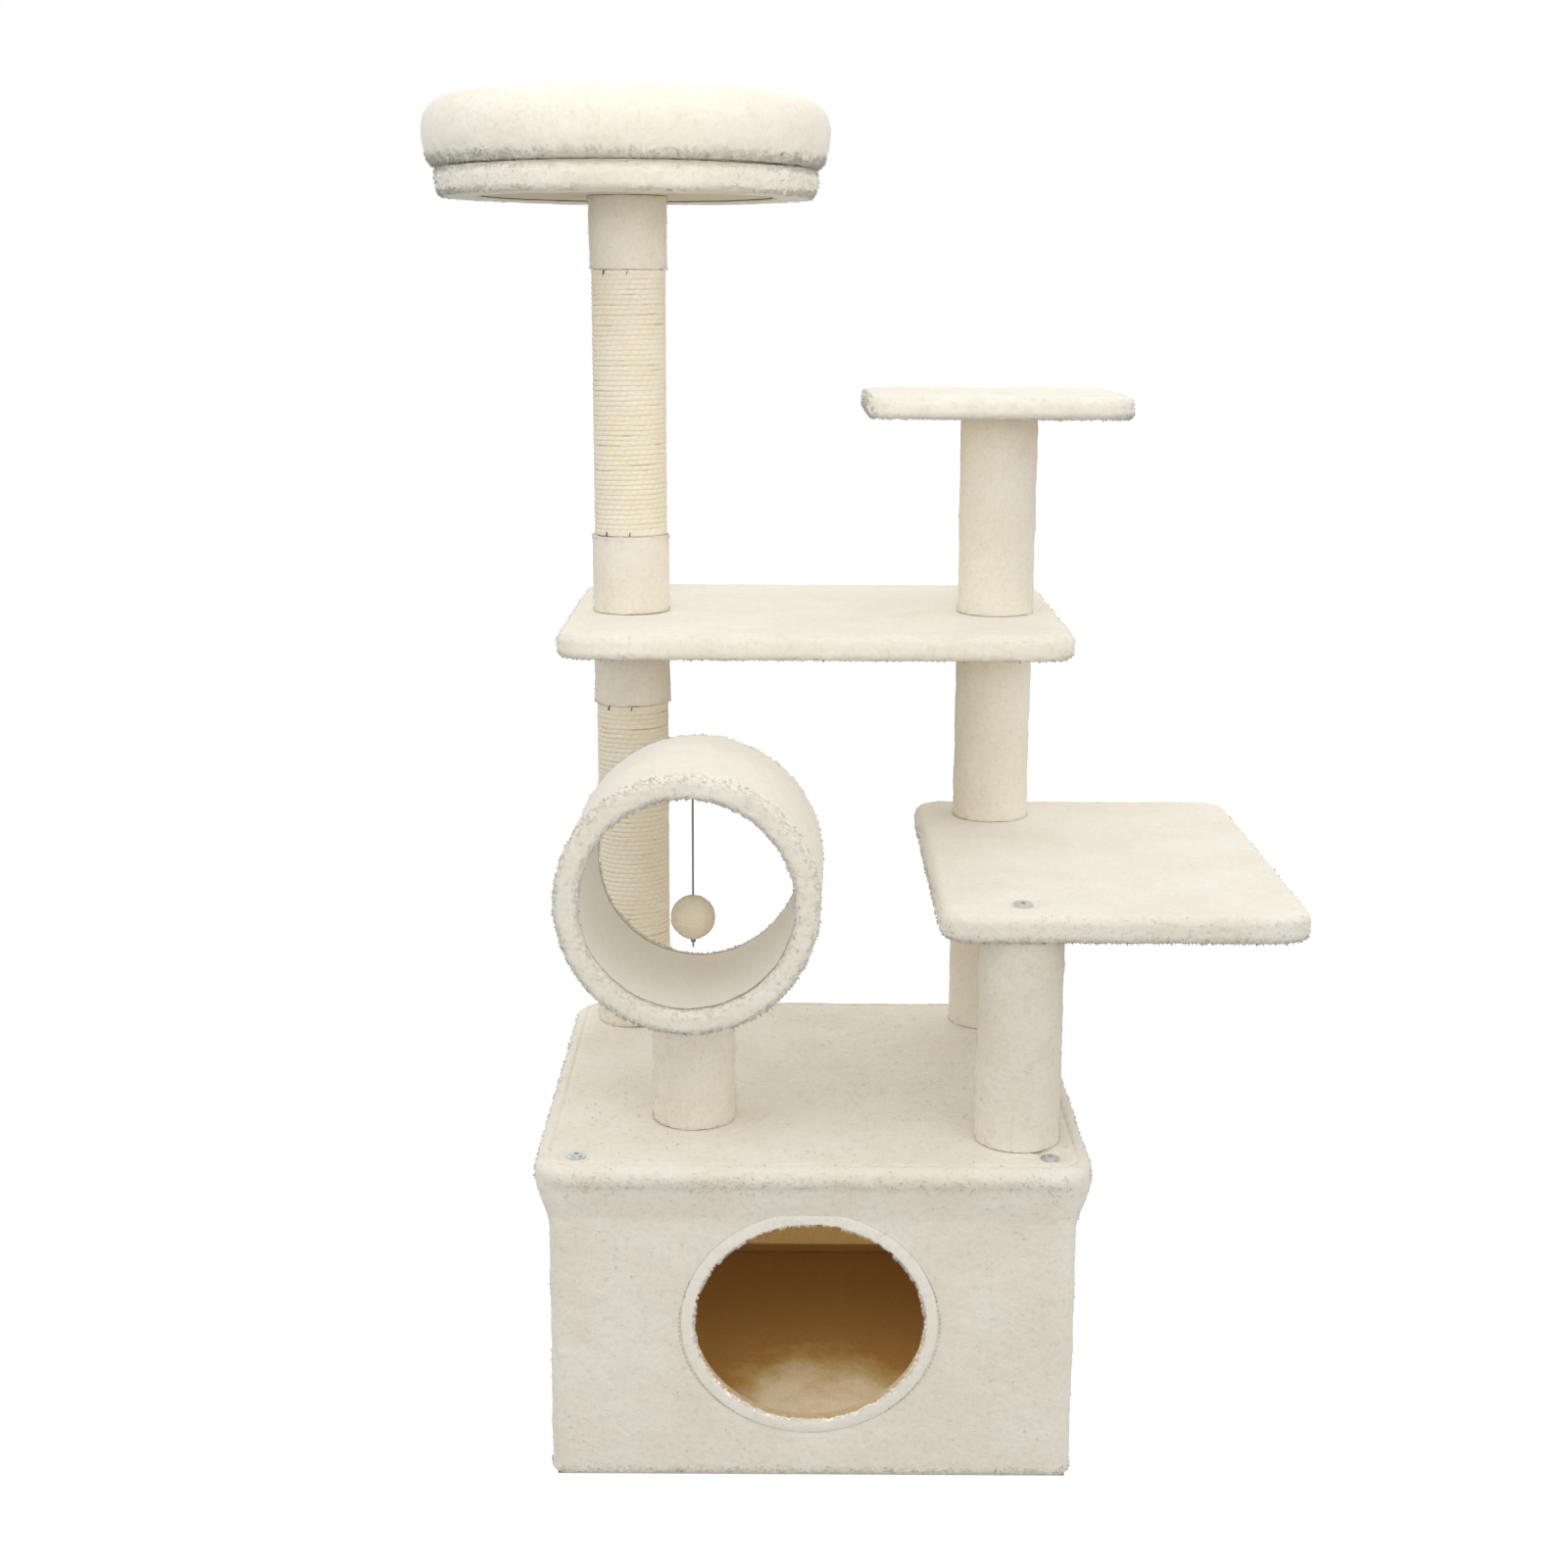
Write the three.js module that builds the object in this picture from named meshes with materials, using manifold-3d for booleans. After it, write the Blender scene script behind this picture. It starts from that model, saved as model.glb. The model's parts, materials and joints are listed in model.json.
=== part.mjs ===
// Plush cat tree: a condo with a round door, a tunnel on a short post, three shelves on rope and plush
// covered posts, and a round bed with a bolster on top. A ball toy hangs on elastic inside the tunnel.
// Millimetres, +Z up, origin on the floor under the middle of the condo, -Y is the front.
import * as THREE from 'three';
import { mergeVertices } from 'three/addons/utils/BufferGeometryUtils.js';
import Module from 'manifold-3d';

const wasm = await Module();
wasm.setup();

// ---- driving dimensions ----
const GAP = 0.3; // clearance between touching pieces
const PLUSH = 4.2; // compressed thickness of the plush
const ROUND = 20; // sides on turned pieces
const HEAD_SIDES = 12;
const SHANK_SIDES = 8;
const CORNER_STEPS = 4; // edges in each rounded corner

// condo
const DECK_X = 250; // half width of the covered deck
const DECK_Y = 240; // half depth of the covered deck
const DECK_TOP = 303;
const DECK_UNDER = 277; // lowest edge of the deck's cover
const DECK_CORNER = 35;
const WALL_X = 237; // half width over the covered walls
const WALL_Y = 231; // half depth over the covered walls
const WALL_CORNER = 10;
const PANEL = 9; // wall board thickness
const REACH = 20; // how far a cutting shape runs past what it cuts
const PAST = 1; // the same where only the face has to be cleared
const BASE_THICK = 15;
const DECK_BOARD_THICK = 17;
const DOOR_X = -2.5; // middle of the door
const DOOR_Z = 152;
const DOOR_HALF_X = 102.5;
const DOOR_HALF_Z = 93.5;
const TRIM_WIDTH = 12; // sewn facing round the door
const TRIM_PROUD = 1.5;
const TRIM_SKIN = 3;
const DOOR_SIDES = 36;
const BATTEN = 24; // square of the corner battens
const MAT_THICK = 5;
const MAT_MARGIN = 2;
const MAT_CORNER = 20;
const MAT_ROLL = 1.5;

// posts: axis positions and the covered tubes
const LEFT = [-185, 183];
const RIGHT = [187, 183];
const FRONT = [187, -160];
const TUBE_R = 34;
const TUBE_WALL = 4;
const PLUG = 20; // wooden plug glued into each end
const SADDLE_PLUG = 28; // the longer plug under the tunnel
const SLEEVE_R = 38.5; // outside of a plush sleeve
const SISAL_R = 37; // outside of the rope winding
const LOWER_CUFF = 646; // top cuff of the lower left post starts here
const FOOT_CUFF = 378;
const UPPER_SISAL = [818, 1080];

// shelves: x0, x1, y0, y1, underside, top
const MIDDLE = [-248, 252, 15, 397, 714.5, 740];
const LOWER = [111, 441, -207, 250, 501, 527];
const PERCH = [51, 308, 60, 300, 941, 962];
const SHELF_CORNER = 32;
const SHELF_ROLL = 7; // rounding of the covered edge
const SHELF_EDGE = 5.5; // plush beyond the board's edge
const LIP = 20; // how far the cover is turned in under the board
const LIP_THICK = 2.5;
const TOP_SKIN = 3.5; // plush on top of a board

// bed
const BED_R = 184.5;
const BED_UNDER = 1148;
const BED_TOP = 1175;
const BED_LIP = 40;
const BOLSTER_R = 199.5; // outside radius
const BOLSTER_WIDTH = 75;
const BOLSTER_TOP = 1245;
const BOLSTER_SECTION = 10; // sides of the bolster's section
const BOLSTER_SIDES = 32;

// tunnel
const TUNNEL = [-111, -108, 532];
const TUNNEL_TURN = THREE.MathUtils.degToRad(1.5); // rear end turned to the right
const TUNNEL_LENGTH = 188;
const TUNNEL_R = 118.6;
const CORE_OUT = 113;
const CORE_IN = 103;
const LINING_IN = 95.7;
const RIM = 4; // plush over the tunnel's ends
const TUNNEL_SIDES = 32;

// fasteners
const BOLT_R = 4;
const BORE_R = 4.5;
const HEAD_R = 9;
const HEAD_HIGH = 3;
const SOCKET_FLOOR = 1.8; // depth of the hexagonal drive
const SOCKET_SIDES = 6;
const WASHER_HIGH = 1.2;
const SCREW_HEAD_TOP = 3.4; // above the washer's seat
const WELD = 0.2; // overlap of shapes joined into one solid
const BITE = 17; // bolt length inside a plug
const SCREW_R = 2.2;
const SCREW_LONG = 48;
const SCREW_HEAD_R = 5;
const SCREW_X = 213;
const SCREW_Y = 203;
const SOCKET_R = 2.5;

// toy
const KNOT_R = 4;
const CORD_R = 1;
const CORD_SIDES = 8;
const CORD_STEPS = 10;
const BALL_R = 20.5;
const BALL_Z = 497;

// ---- materials ----
function finish(color, roughness, metalness = 0) {
  return { color, roughness, metalness };
}
const plush = finish('#efebdf', 0.95);
const sisal = finish('#e4d8b2', 0.9);
const board = finish('#b8925f', 0.8);
const paper = finish('#a88458', 0.85);
const steel = finish('#a3a3a0', 0.35, 1);
const elastic = finish('#8b8b88', 0.7);
const ball = finish('#ddd2b8', 0.95);

const tree = new THREE.Group();
tree.name = 'cat_tree';

function place(name, geometry, material, parent = tree) {
  const mesh = new THREE.Mesh(geometry, new THREE.MeshStandardMaterial(material));
  mesh.name = name;
  parent.add(mesh);
  return mesh;
}

// ---- solids ----
function solid(geometry) {
  const copy = geometry.clone();
  copy.deleteAttribute('normal');
  copy.deleteAttribute('uv');
  const merged = mergeVertices(copy, 1e-4);
  return new wasm.Manifold(new wasm.Mesh({
    numProp: 3,
    vertProperties: new Float32Array(merged.attributes.position.array),
    triVerts: new Uint32Array(merged.index.array),
  }));
}

function geometryOf(manifold) {
  const mesh = manifold.getMesh();
  const geometry = new THREE.BufferGeometry();
  geometry.setAttribute('position', new THREE.BufferAttribute(mesh.vertProperties, 3));
  geometry.setIndex(new THREE.BufferAttribute(mesh.triVerts, 1));
  geometry.computeVertexNormals();
  return geometry;
}

function roundedOutline(x0, x1, y0, y1, r) {
  const shape = new THREE.Shape();
  shape.moveTo(x0 + r, y0);
  shape.lineTo(x1 - r, y0);
  shape.absarc(x1 - r, y0 + r, r, -Math.PI / 2, 0);
  shape.lineTo(x1, y1 - r);
  shape.absarc(x1 - r, y1 - r, r, 0, Math.PI / 2);
  shape.lineTo(x0 + r, y1);
  shape.absarc(x0 + r, y1 - r, r, Math.PI / 2, Math.PI);
  shape.lineTo(x0, y0 + r);
  shape.absarc(x0 + r, y0 + r, r, Math.PI, Math.PI * 1.5);
  return shape;
}

// a flat piece with round corners and, with roll, rounded edges above and below
function slab(x0, x1, y0, y1, z0, z1, r, roll = 0) {
  const geometry = new THREE.ExtrudeGeometry(roundedOutline(x0, x1, y0, y1, r), {
    depth: z1 - z0 - 2 * roll,
    curveSegments: CORNER_STEPS,
    bevelEnabled: roll > 0,
    bevelThickness: roll,
    bevelSize: roll,
    bevelOffset: -roll,
    bevelSegments: 2,
  });
  return solid(geometry.translate(0, 0, z0 + roll));
}

function block(x0, x1, y0, y1, z0, z1) {
  const geometry = new THREE.BoxGeometry(x1 - x0, y1 - y0, z1 - z0);
  return solid(geometry.translate((x0 + x1) / 2, (y0 + y1) / 2, (z0 + z1) / 2));
}

function rod([x, y], r, z0, z1, sides = ROUND) {
  const geometry = new THREE.CylinderGeometry(r, r, z1 - z0, sides);
  return solid(geometry.rotateX(Math.PI / 2).translate(x, y, (z0 + z1) / 2));
}

// a closed profile of [radius, height] points, anticlockwise, turned about the vertical through x, y
function turned([x, y], profile, sides = ROUND) {
  const points = [...profile, profile[0]].map(([r, z]) => new THREE.Vector2(r, z));
  return solid(new THREE.LatheGeometry(points, sides).rotateX(Math.PI / 2).translate(x, y, 0));
}

function ring(axis, inner, outer, z0, z1, sides = ROUND) {
  return turned(axis, [[inner, z0], [outer, z0], [outer, z1], [inner, z1]], sides);
}

// ---- condo ----
const PANEL_X = WALL_X - PLUSH - 2 * GAP; // outer faces of the wall boards
const PANEL_Y = WALL_Y - PLUSH - 2 * GAP;
const DECK_BOARD_TOP = DECK_TOP - TOP_SKIN - GAP;
const DECK_BOARD_UNDER = DECK_BOARD_TOP - DECK_BOARD_THICK;
const PANEL_TOP = DECK_BOARD_UNDER - GAP;
const PANEL_FOOT = BASE_THICK + GAP;
const CORNERS = [
  ['front_left', -SCREW_X, -SCREW_Y],
  ['front_right', SCREW_X, -SCREW_Y],
  ['rear_left', -SCREW_X, SCREW_Y],
  ['rear_right', SCREW_X, SCREW_Y],
];
const DECK_POSTS = [LEFT, RIGHT, FRONT, [TUNNEL[0], TUNNEL[1]]];

// an elliptical prism through the front wall, grown by offset beyond the door
function doorway(offset, y0, y1) {
  const shape = new THREE.Shape();
  shape.absellipse(DOOR_X, DOOR_Z, DOOR_HALF_X + offset, DOOR_HALF_Z + offset, 0, Math.PI * 2);
  const geometry = new THREE.ExtrudeGeometry(shape, {
    depth: y1 - y0,
    curveSegments: DOOR_SIDES / 2,
    bevelEnabled: false,
  });
  return solid(geometry.rotateX(Math.PI / 2).translate(0, y1, 0));
}

function boltHoles(posts, z0, z1) {
  return posts.map((post) => rod(post, BORE_R, z0, z1, HEAD_SIDES));
}

function drill(body, holes) {
  return holes.reduce((rest, hole) => rest.subtract(hole), body);
}

function buildCondo() {
  place('base_board', geometryOf(block(-PANEL_X, PANEL_X, -PANEL_Y, PANEL_Y, 0, BASE_THICK)), board);

  const front = block(-PANEL_X, PANEL_X, -PANEL_Y, -PANEL_Y + PANEL, PANEL_FOOT, PANEL_TOP);
  const clearDoor = doorway(TRIM_SKIN + GAP, -WALL_Y - REACH, -PANEL_Y + PANEL + REACH);
  place('front_panel', geometryOf(front.subtract(clearDoor)), board);
  const back = block(-PANEL_X, PANEL_X, PANEL_Y - PANEL, PANEL_Y, PANEL_FOOT, PANEL_TOP);
  place('back_panel', geometryOf(back), board);

  const inY = PANEL_Y - PANEL - GAP;
  for (const [name, side] of [['left_panel', -1], ['right_panel', 1]]) {
    const outer = side * PANEL_X;
    const inner = side * (PANEL_X - PANEL);
    const deep = side * (PANEL_X - PANEL - BATTEN);
    let panel = block(Math.min(outer, inner), Math.max(outer, inner), -inY, inY, PANEL_FOOT, PANEL_TOP);
    for (const end of [-1, 1]) {
      const y0 = Math.min(end * inY, end * (inY - BATTEN));
      const x0 = Math.min(outer, deep);
      const batten = block(x0, x0 + BATTEN + PANEL, y0, y0 + BATTEN, PANEL_FOOT, PANEL_TOP);
      panel = panel.add(batten);
    }
    const pilot = CORNERS.map(([, x, y]) => {
      return rod([x, y], SCREW_R + GAP, PANEL_TOP - SCREW_LONG, PANEL_TOP + 1, SHANK_SIDES);
    });
    place(name, geometryOf(drill(panel, pilot)), board);
  }

  const matX = PANEL_X - PANEL - BATTEN - MAT_MARGIN;
  const matY = PANEL_Y - PANEL - MAT_MARGIN;
  const matTop = PANEL_FOOT + MAT_THICK;
  const mat = slab(-matX, matX, -matY, matY, PANEL_FOOT, matTop, MAT_CORNER, MAT_ROLL);
  place('floor_mat', geometryOf(mat), plush);

  const inset = SHELF_EDGE + GAP;
  const deckX = DECK_X - inset;
  const deckY = DECK_Y - inset;
  const screwHoles = CORNERS.map(([, x, y]) => {
    return rod([x, y], SCREW_R + GAP, DECK_UNDER, DECK_TOP + 1, SHANK_SIDES);
  });
  const holes = [...boltHoles(DECK_POSTS, DECK_UNDER - REACH, DECK_TOP + PAST), ...screwHoles];
  const deck = slab(-deckX, deckX, -deckY, deckY, DECK_BOARD_UNDER, DECK_BOARD_TOP, DECK_CORNER - inset);
  place('deck_board', geometryOf(drill(deck, holes)), board);

  const pocketX = deckX + GAP;
  const pocketY = deckY + GAP;
  const pocket = slab(
    -pocketX, pocketX, -pocketY, pocketY,
    DECK_BOARD_UNDER - GAP, DECK_BOARD_TOP + GAP, DECK_CORNER - inset + GAP,
  );
  const mouth = block(
    -PANEL_X - GAP, PANEL_X + GAP, -PANEL_Y - GAP, PANEL_Y + GAP,
    DECK_UNDER - 1, DECK_BOARD_UNDER,
  );
  const washerWells = CORNERS.map(([, x, y]) => {
    return rod([x, y], HEAD_R + GAP, DECK_BOARD_TOP, DECK_TOP + 1, HEAD_SIDES);
  });
  const skin = slab(-DECK_X, DECK_X, -DECK_Y, DECK_Y, DECK_UNDER, DECK_TOP, DECK_CORNER, SHELF_ROLL);
  const cover = skin.subtract(pocket).subtract(mouth);
  place('deck_cover', geometryOf(drill(cover, [...holes, ...washerWells])), plush);

  const wallTop = DECK_UNDER - GAP;
  const outside = slab(-WALL_X, WALL_X, -WALL_Y, WALL_Y, 1, wallTop, WALL_CORNER);
  const inside = block(-PANEL_X - GAP, PANEL_X + GAP, -PANEL_Y - GAP, PANEL_Y + GAP, 0, wallTop + 1);
  const trimSeat = doorway(TRIM_WIDTH + GAP, -WALL_Y - REACH, -WALL_Y + TRIM_PROUD + GAP);
  const wallSkin = outside.subtract(inside).subtract(clearDoor).subtract(trimSeat);
  place('wall_cover', geometryOf(wallSkin), plush);

  const flange = doorway(TRIM_WIDTH, -WALL_Y - TRIM_PROUD, -WALL_Y + TRIM_PROUD);
  const reveal = doorway(TRIM_SKIN, -WALL_Y, -PANEL_Y + PANEL);
  const hole = doorway(0, -WALL_Y - REACH, -PANEL_Y + PANEL + REACH);
  place('door_trim', geometryOf(flange.add(reveal).subtract(hole)), plush);
}

function buildScrews() {
  for (const [corner, x, y] of CORNERS) {
    const seat = DECK_BOARD_TOP + GAP;
    const washer = rod([x, y], HEAD_R, seat, seat + WASHER_HIGH, HEAD_SIDES);
    const head = rod([x, y], SCREW_HEAD_R, seat + WASHER_HIGH - WELD, seat + SCREW_HEAD_TOP, HEAD_SIDES);
    const shank = rod([x, y], SCREW_R, seat - SCREW_LONG + 2, seat + WASHER_HIGH - WELD, SHANK_SIDES);
    const drive = rod([x, y], SOCKET_R, seat + SOCKET_FLOOR, seat + SCREW_HEAD_TOP + PAST, SOCKET_SIDES);
    place(`deck_screw_${corner}`, geometryOf(washer.add(head).add(shank).subtract(drive)), steel);
  }
}

// ---- posts ----
// a wound paper tube with a bored wooden plug glued into each end
function postTube(axis, z0, z1, topPlug = PLUG) {
  const inner = TUBE_R - TUBE_WALL;
  return turned(axis, [
    [BORE_R, z0], [TUBE_R, z0], [TUBE_R, z1], [BORE_R, z1],
    [BORE_R, z1 - topPlug], [inner, z1 - topPlug], [inner, z0 + PLUG], [BORE_R, z0 + PLUG],
  ]);
}

function sleeve(axis, outer, z0, z1) {
  return ring(axis, TUBE_R + GAP, outer, z0, z1);
}

const boardUnder = (shelf) => shelf[4] + LIP_THICK + GAP;
const BED_BOARD_UNDER = BED_UNDER + LIP_THICK + GAP;

// name, axis, foot, head of each plain post that is plush from end to end
const PLUSH_POSTS = [
  ['lower_right', RIGHT, DECK_TOP + GAP, boardUnder(LOWER) - GAP],
  ['middle_right', RIGHT, LOWER[5] + GAP, boardUnder(MIDDLE) - GAP],
  ['upper_right', RIGHT, MIDDLE[5] + GAP, boardUnder(PERCH) - GAP],
  ['front_right', FRONT, DECK_TOP + GAP, boardUnder(LOWER) - GAP],
];

function buildPosts() {
  for (const [name, axis, foot, head] of PLUSH_POSTS) {
    place(`${name}_post`, geometryOf(postTube(axis, foot, head)), paper);
    place(`${name}_sleeve`, geometryOf(sleeve(axis, SLEEVE_R, foot, head)), plush);
  }

  const lowHead = boardUnder(MIDDLE) - GAP;
  const lowFoot = DECK_TOP + GAP;
  place('lower_left_post', geometryOf(postTube(LEFT, lowFoot, lowHead)), paper);
  place('lower_left_foot_cuff', geometryOf(sleeve(LEFT, SLEEVE_R, lowFoot, FOOT_CUFF)), plush);
  const lowRope = sleeve(LEFT, SISAL_R, FOOT_CUFF + GAP, LOWER_CUFF - GAP);
  place('lower_left_sisal', geometryOf(lowRope), sisal);
  place('lower_left_top_cuff', geometryOf(sleeve(LEFT, SLEEVE_R, LOWER_CUFF, lowHead)), plush);

  const highFoot = MIDDLE[5] + GAP;
  const highHead = BED_BOARD_UNDER - GAP;
  const [ropeFoot, ropeHead] = UPPER_SISAL;
  place('upper_left_post', geometryOf(postTube(LEFT, highFoot, highHead)), paper);
  place('upper_left_foot_cuff', geometryOf(sleeve(LEFT, SLEEVE_R, highFoot, ropeFoot)), plush);
  const highRope = sleeve(LEFT, SISAL_R, ropeFoot + GAP, ropeHead - GAP);
  place('upper_left_sisal', geometryOf(highRope), sisal);
  place('upper_left_top_cuff', geometryOf(sleeve(LEFT, SLEEVE_R, ropeHead, highHead)), plush);
}

// ---- shelves ----
function buildShelf(name, [x0, x1, y0, y1, under, top], bolts, wells) {
  const e = SHELF_EDGE + GAP;
  const z0 = under + LIP_THICK + GAP;
  const z1 = top - TOP_SKIN - GAP;
  const holes = boltHoles(bolts, under - 1, top + 1);
  const wood = slab(x0 + e, x1 - e, y0 + e, y1 - e, z0, z1, SHELF_CORNER - e);
  place(`${name}_board`, geometryOf(drill(wood, holes)), board);

  const p = e - GAP;
  const pocket = slab(x0 + p, x1 - p, y0 + p, y1 - p, z0 - GAP, z1 + GAP, SHELF_CORNER - p);
  const mouth = slab(x0 + LIP, x1 - LIP, y0 + LIP, y1 - LIP, under - 1, z0, SHELF_CORNER - LIP + 4);
  const postRoom = bolts.map((axis) => rod(axis, SLEEVE_R + GAP, under - 1, z0));
  const headRoom = wells.map((axis) => rod(axis, HEAD_R + GAP, z1, top + 1, HEAD_SIDES));
  const skin = slab(x0, x1, y0, y1, under, top, SHELF_CORNER, SHELF_ROLL);
  const cover = drill(skin.subtract(pocket).subtract(mouth), [...holes, ...postRoom, ...headRoom]);
  place(`${name}_cover`, geometryOf(cover), plush);
}

// ---- bed ----
function buildBed() {
  const boardR = BED_R - SHELF_EDGE - GAP;
  const z1 = BED_TOP - TOP_SKIN - GAP;
  const hole = rod(LEFT, BORE_R, BED_UNDER - 1, BED_TOP + 1, HEAD_SIDES);
  const wood = rod(LEFT, boardR, BED_BOARD_UNDER, z1, BOLSTER_SIDES);
  place('bed_board', geometryOf(wood.subtract(hole)), board);

  const roll = SHELF_ROLL;
  const mouthR = BED_R - BED_LIP;
  const cover = turned(LEFT, [
    [mouthR, BED_UNDER], [BED_R - roll, BED_UNDER],
    [BED_R, BED_UNDER + roll], [BED_R, BED_TOP - roll], [BED_R - roll, BED_TOP],
    [HEAD_R + GAP, BED_TOP], [HEAD_R + GAP, z1 + GAP],
    [boardR + GAP, z1 + GAP], [boardR + GAP, BED_BOARD_UNDER - GAP], [mouthR, BED_BOARD_UNDER - GAP],
  ], BOLSTER_SIDES);
  place('bed_cover', geometryOf(cover), plush);

  const foot = BED_TOP + GAP;
  const halfWide = BOLSTER_WIDTH / 2;
  const halfHigh = (BOLSTER_TOP - foot) / 2;
  const section = [];
  for (let k = 0; k < BOLSTER_SECTION; k += 1) {
    const a = (k / BOLSTER_SECTION) * Math.PI * 2;
    section.push([BOLSTER_R - halfWide + halfWide * Math.cos(a), foot + halfHigh * (1 + Math.sin(a))]);
  }
  place('bed_bolster', geometryOf(turned(LEFT, section, BOLSTER_SIDES)), plush);
}

// ---- tunnel ----
const tunnelFrame = new THREE.Group();
tunnelFrame.position.set(...TUNNEL);
tunnelFrame.rotation.z = -TUNNEL_TURN;
tree.add(tunnelFrame);

// a closed profile of [radius, distance along the tunnel] points, anticlockwise
function tunnelShell(profile) {
  const points = [...profile, profile[0]].map(([r, y]) => new THREE.Vector2(r, y));
  return solid(new THREE.LatheGeometry(points, TUNNEL_SIDES));
}

function tunnelRing(inner, outer, half) {
  return tunnelShell([[inner, -half], [outer, -half], [outer, half], [inner, half]]);
}

function buildTunnel() {
  const half = TUNNEL_LENGTH / 2;
  const coreHalf = half - RIM - GAP;
  const r = RIM;
  const bolt = rod([0, 0], BORE_R, -TUNNEL_R - 5, -LINING_IN + 5, HEAD_SIDES);
  const core = tunnelRing(CORE_IN, CORE_OUT, coreHalf);
  place('tunnel_tube', geometryOf(core.subtract(bolt)), paper, tunnelFrame);

  const skinIn = CORE_OUT + GAP;
  const rimIn = CORE_IN;
  const cover = tunnelShell([
    [rimIn, -half], [TUNNEL_R - r, -half], [TUNNEL_R, -half + r],
    [TUNNEL_R, half - r], [TUNNEL_R - r, half], [rimIn, half],
    [rimIn, half - r], [skinIn, half - r], [skinIn, -half + r], [rimIn, -half + r],
  ]);
  place('tunnel_cover', geometryOf(cover.subtract(bolt)), plush, tunnelFrame);

  const lining = tunnelShell([
    [LINING_IN + r, -half], [CORE_IN - GAP, -half], [CORE_IN - GAP, half],
    [LINING_IN + r, half], [LINING_IN, half - r], [LINING_IN, -half + r],
  ]);
  const well = rod([0, 0], HEAD_R + GAP, -CORE_IN - 2, -LINING_IN + 5, HEAD_SIDES);
  place('tunnel_lining', geometryOf(lining.subtract(well)), plush, tunnelFrame);

  // the short post's head is hollowed to fit the tunnel
  const axis = [TUNNEL[0], TUNNEL[1]];
  const top = TUNNEL[2] - Math.sqrt((TUNNEL_R + GAP) ** 2 - SLEEVE_R ** 2) + 0.5;
  const room = new THREE.CylinderGeometry(TUNNEL_R + GAP, TUNNEL_R + GAP, TUNNEL_LENGTH, 2 * TUNNEL_SIDES);
  const saddle = solid(room.rotateZ(-TUNNEL_TURN).translate(...TUNNEL));
  const foot = DECK_TOP + GAP;
  place('tunnel_post', geometryOf(postTube(axis, foot, top, SADDLE_PLUG).subtract(saddle)), paper);
  place('tunnel_post_sleeve', geometryOf(sleeve(axis, SLEEVE_R, foot, top).subtract(saddle)), plush);
}

// ---- fasteners ----
// a bolt whose head sits at z0 and whose shank runs to z1, above or below it
function headedBolt(axis, z0, z1) {
  const up = Math.sign(z1 - z0);
  const headEnd = z0 - up * HEAD_HIGH;
  const head = rod(axis, HEAD_R, Math.min(z0, headEnd), Math.max(z0, headEnd), HEAD_SIDES);
  const from = z0 - up;
  const shank = rod(axis, BOLT_R, Math.min(from, z1), Math.max(from, z1), SHANK_SIDES);
  const dip = headEnd + up * SOCKET_FLOOR;
  const drive = rod(axis, SOCKET_R, Math.min(dip, headEnd - up), Math.max(dip, headEnd - up), SOCKET_SIDES);
  return head.add(shank).subtract(drive);
}

function buildBolts() {
  const names = ['left', 'right', 'front', 'tunnel'];
  const under = DECK_BOARD_UNDER - GAP;
  names.forEach((name, k) => {
    place(`deck_bolt_${name}`, geometryOf(headedBolt(DECK_POSTS[k], under, DECK_TOP + BITE)), steel);
  });

  const studs = [
    ['stud_middle_left', LEFT, MIDDLE],
    ['stud_middle_right', RIGHT, MIDDLE],
    ['stud_lower_right', RIGHT, LOWER],
  ];
  for (const [name, axis, shelf] of studs) {
    place(name, geometryOf(rod(axis, BOLT_R, boardUnder(shelf) - BITE, shelf[5] + BITE, SHANK_SIDES)), steel);
  }

  const seat = (top) => top - TOP_SKIN;
  const caps = [
    ['bed_bolt', LEFT, seat(BED_TOP), BED_BOARD_UNDER - BITE],
    ['perch_bolt', RIGHT, seat(PERCH[5]), boardUnder(PERCH) - BITE],
    ['lower_shelf_bolt', FRONT, seat(LOWER[5]), boardUnder(LOWER) - BITE],
    ['tunnel_bolt', [TUNNEL[0], TUNNEL[1]], TUNNEL[2] - CORE_IN + 0.9, TUNNEL[2] - TUNNEL_R - BITE],
  ];
  for (const [name, axis, from, to] of caps) {
    place(name, geometryOf(headedBolt(axis, from, to)), steel);
  }
}

// ---- toy ----
function buildToy() {
  const pivotZ = LINING_IN - KNOT_R - 0.6;
  const knot = new THREE.SphereGeometry(KNOT_R, 10, 6).rotateX(Math.PI / 2);
  const knotMesh = place('toy_knot', geometryOf(solid(knot)), elastic, tunnelFrame);
  knotMesh.position.z = pivotZ;

  const ballZ = BALL_Z - TUNNEL[2];
  const from = new THREE.Vector3(0, 0, pivotZ - KNOT_R - GAP);
  const to = new THREE.Vector3(0, 0, ballZ + BALL_R + GAP);
  const section = new THREE.Shape();
  section.absarc(0, 0, CORD_R, 0, Math.PI * 2);
  const cord = new THREE.ExtrudeGeometry(section, {
    steps: CORD_STEPS,
    curveSegments: CORD_SIDES / 2,
    extrudePath: new THREE.LineCurve3(from, to),
  });
  place('toy_cord', geometryOf(solid(cord)), elastic, tunnelFrame);

  const round = new THREE.SphereGeometry(BALL_R, 18, 12).rotateX(Math.PI / 2);
  const ballMesh = place('toy_ball', geometryOf(solid(round)), ball, tunnelFrame);
  ballMesh.position.z = ballZ;
}

buildCondo();
buildScrews();
buildPosts();
buildShelf('middle_shelf', MIDDLE, [LEFT, RIGHT], []);
buildShelf('lower_shelf', LOWER, [RIGHT, FRONT], [FRONT]);
buildShelf('perch', PERCH, [RIGHT], [RIGHT]);
buildBed();
buildTunnel();
buildBolts();
buildToy();

export default tree;
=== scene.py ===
# Plush cat tree: the soft goods, rope, stitching and finishes round the fixed CAD frame.
import itertools
import json
import math

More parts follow.
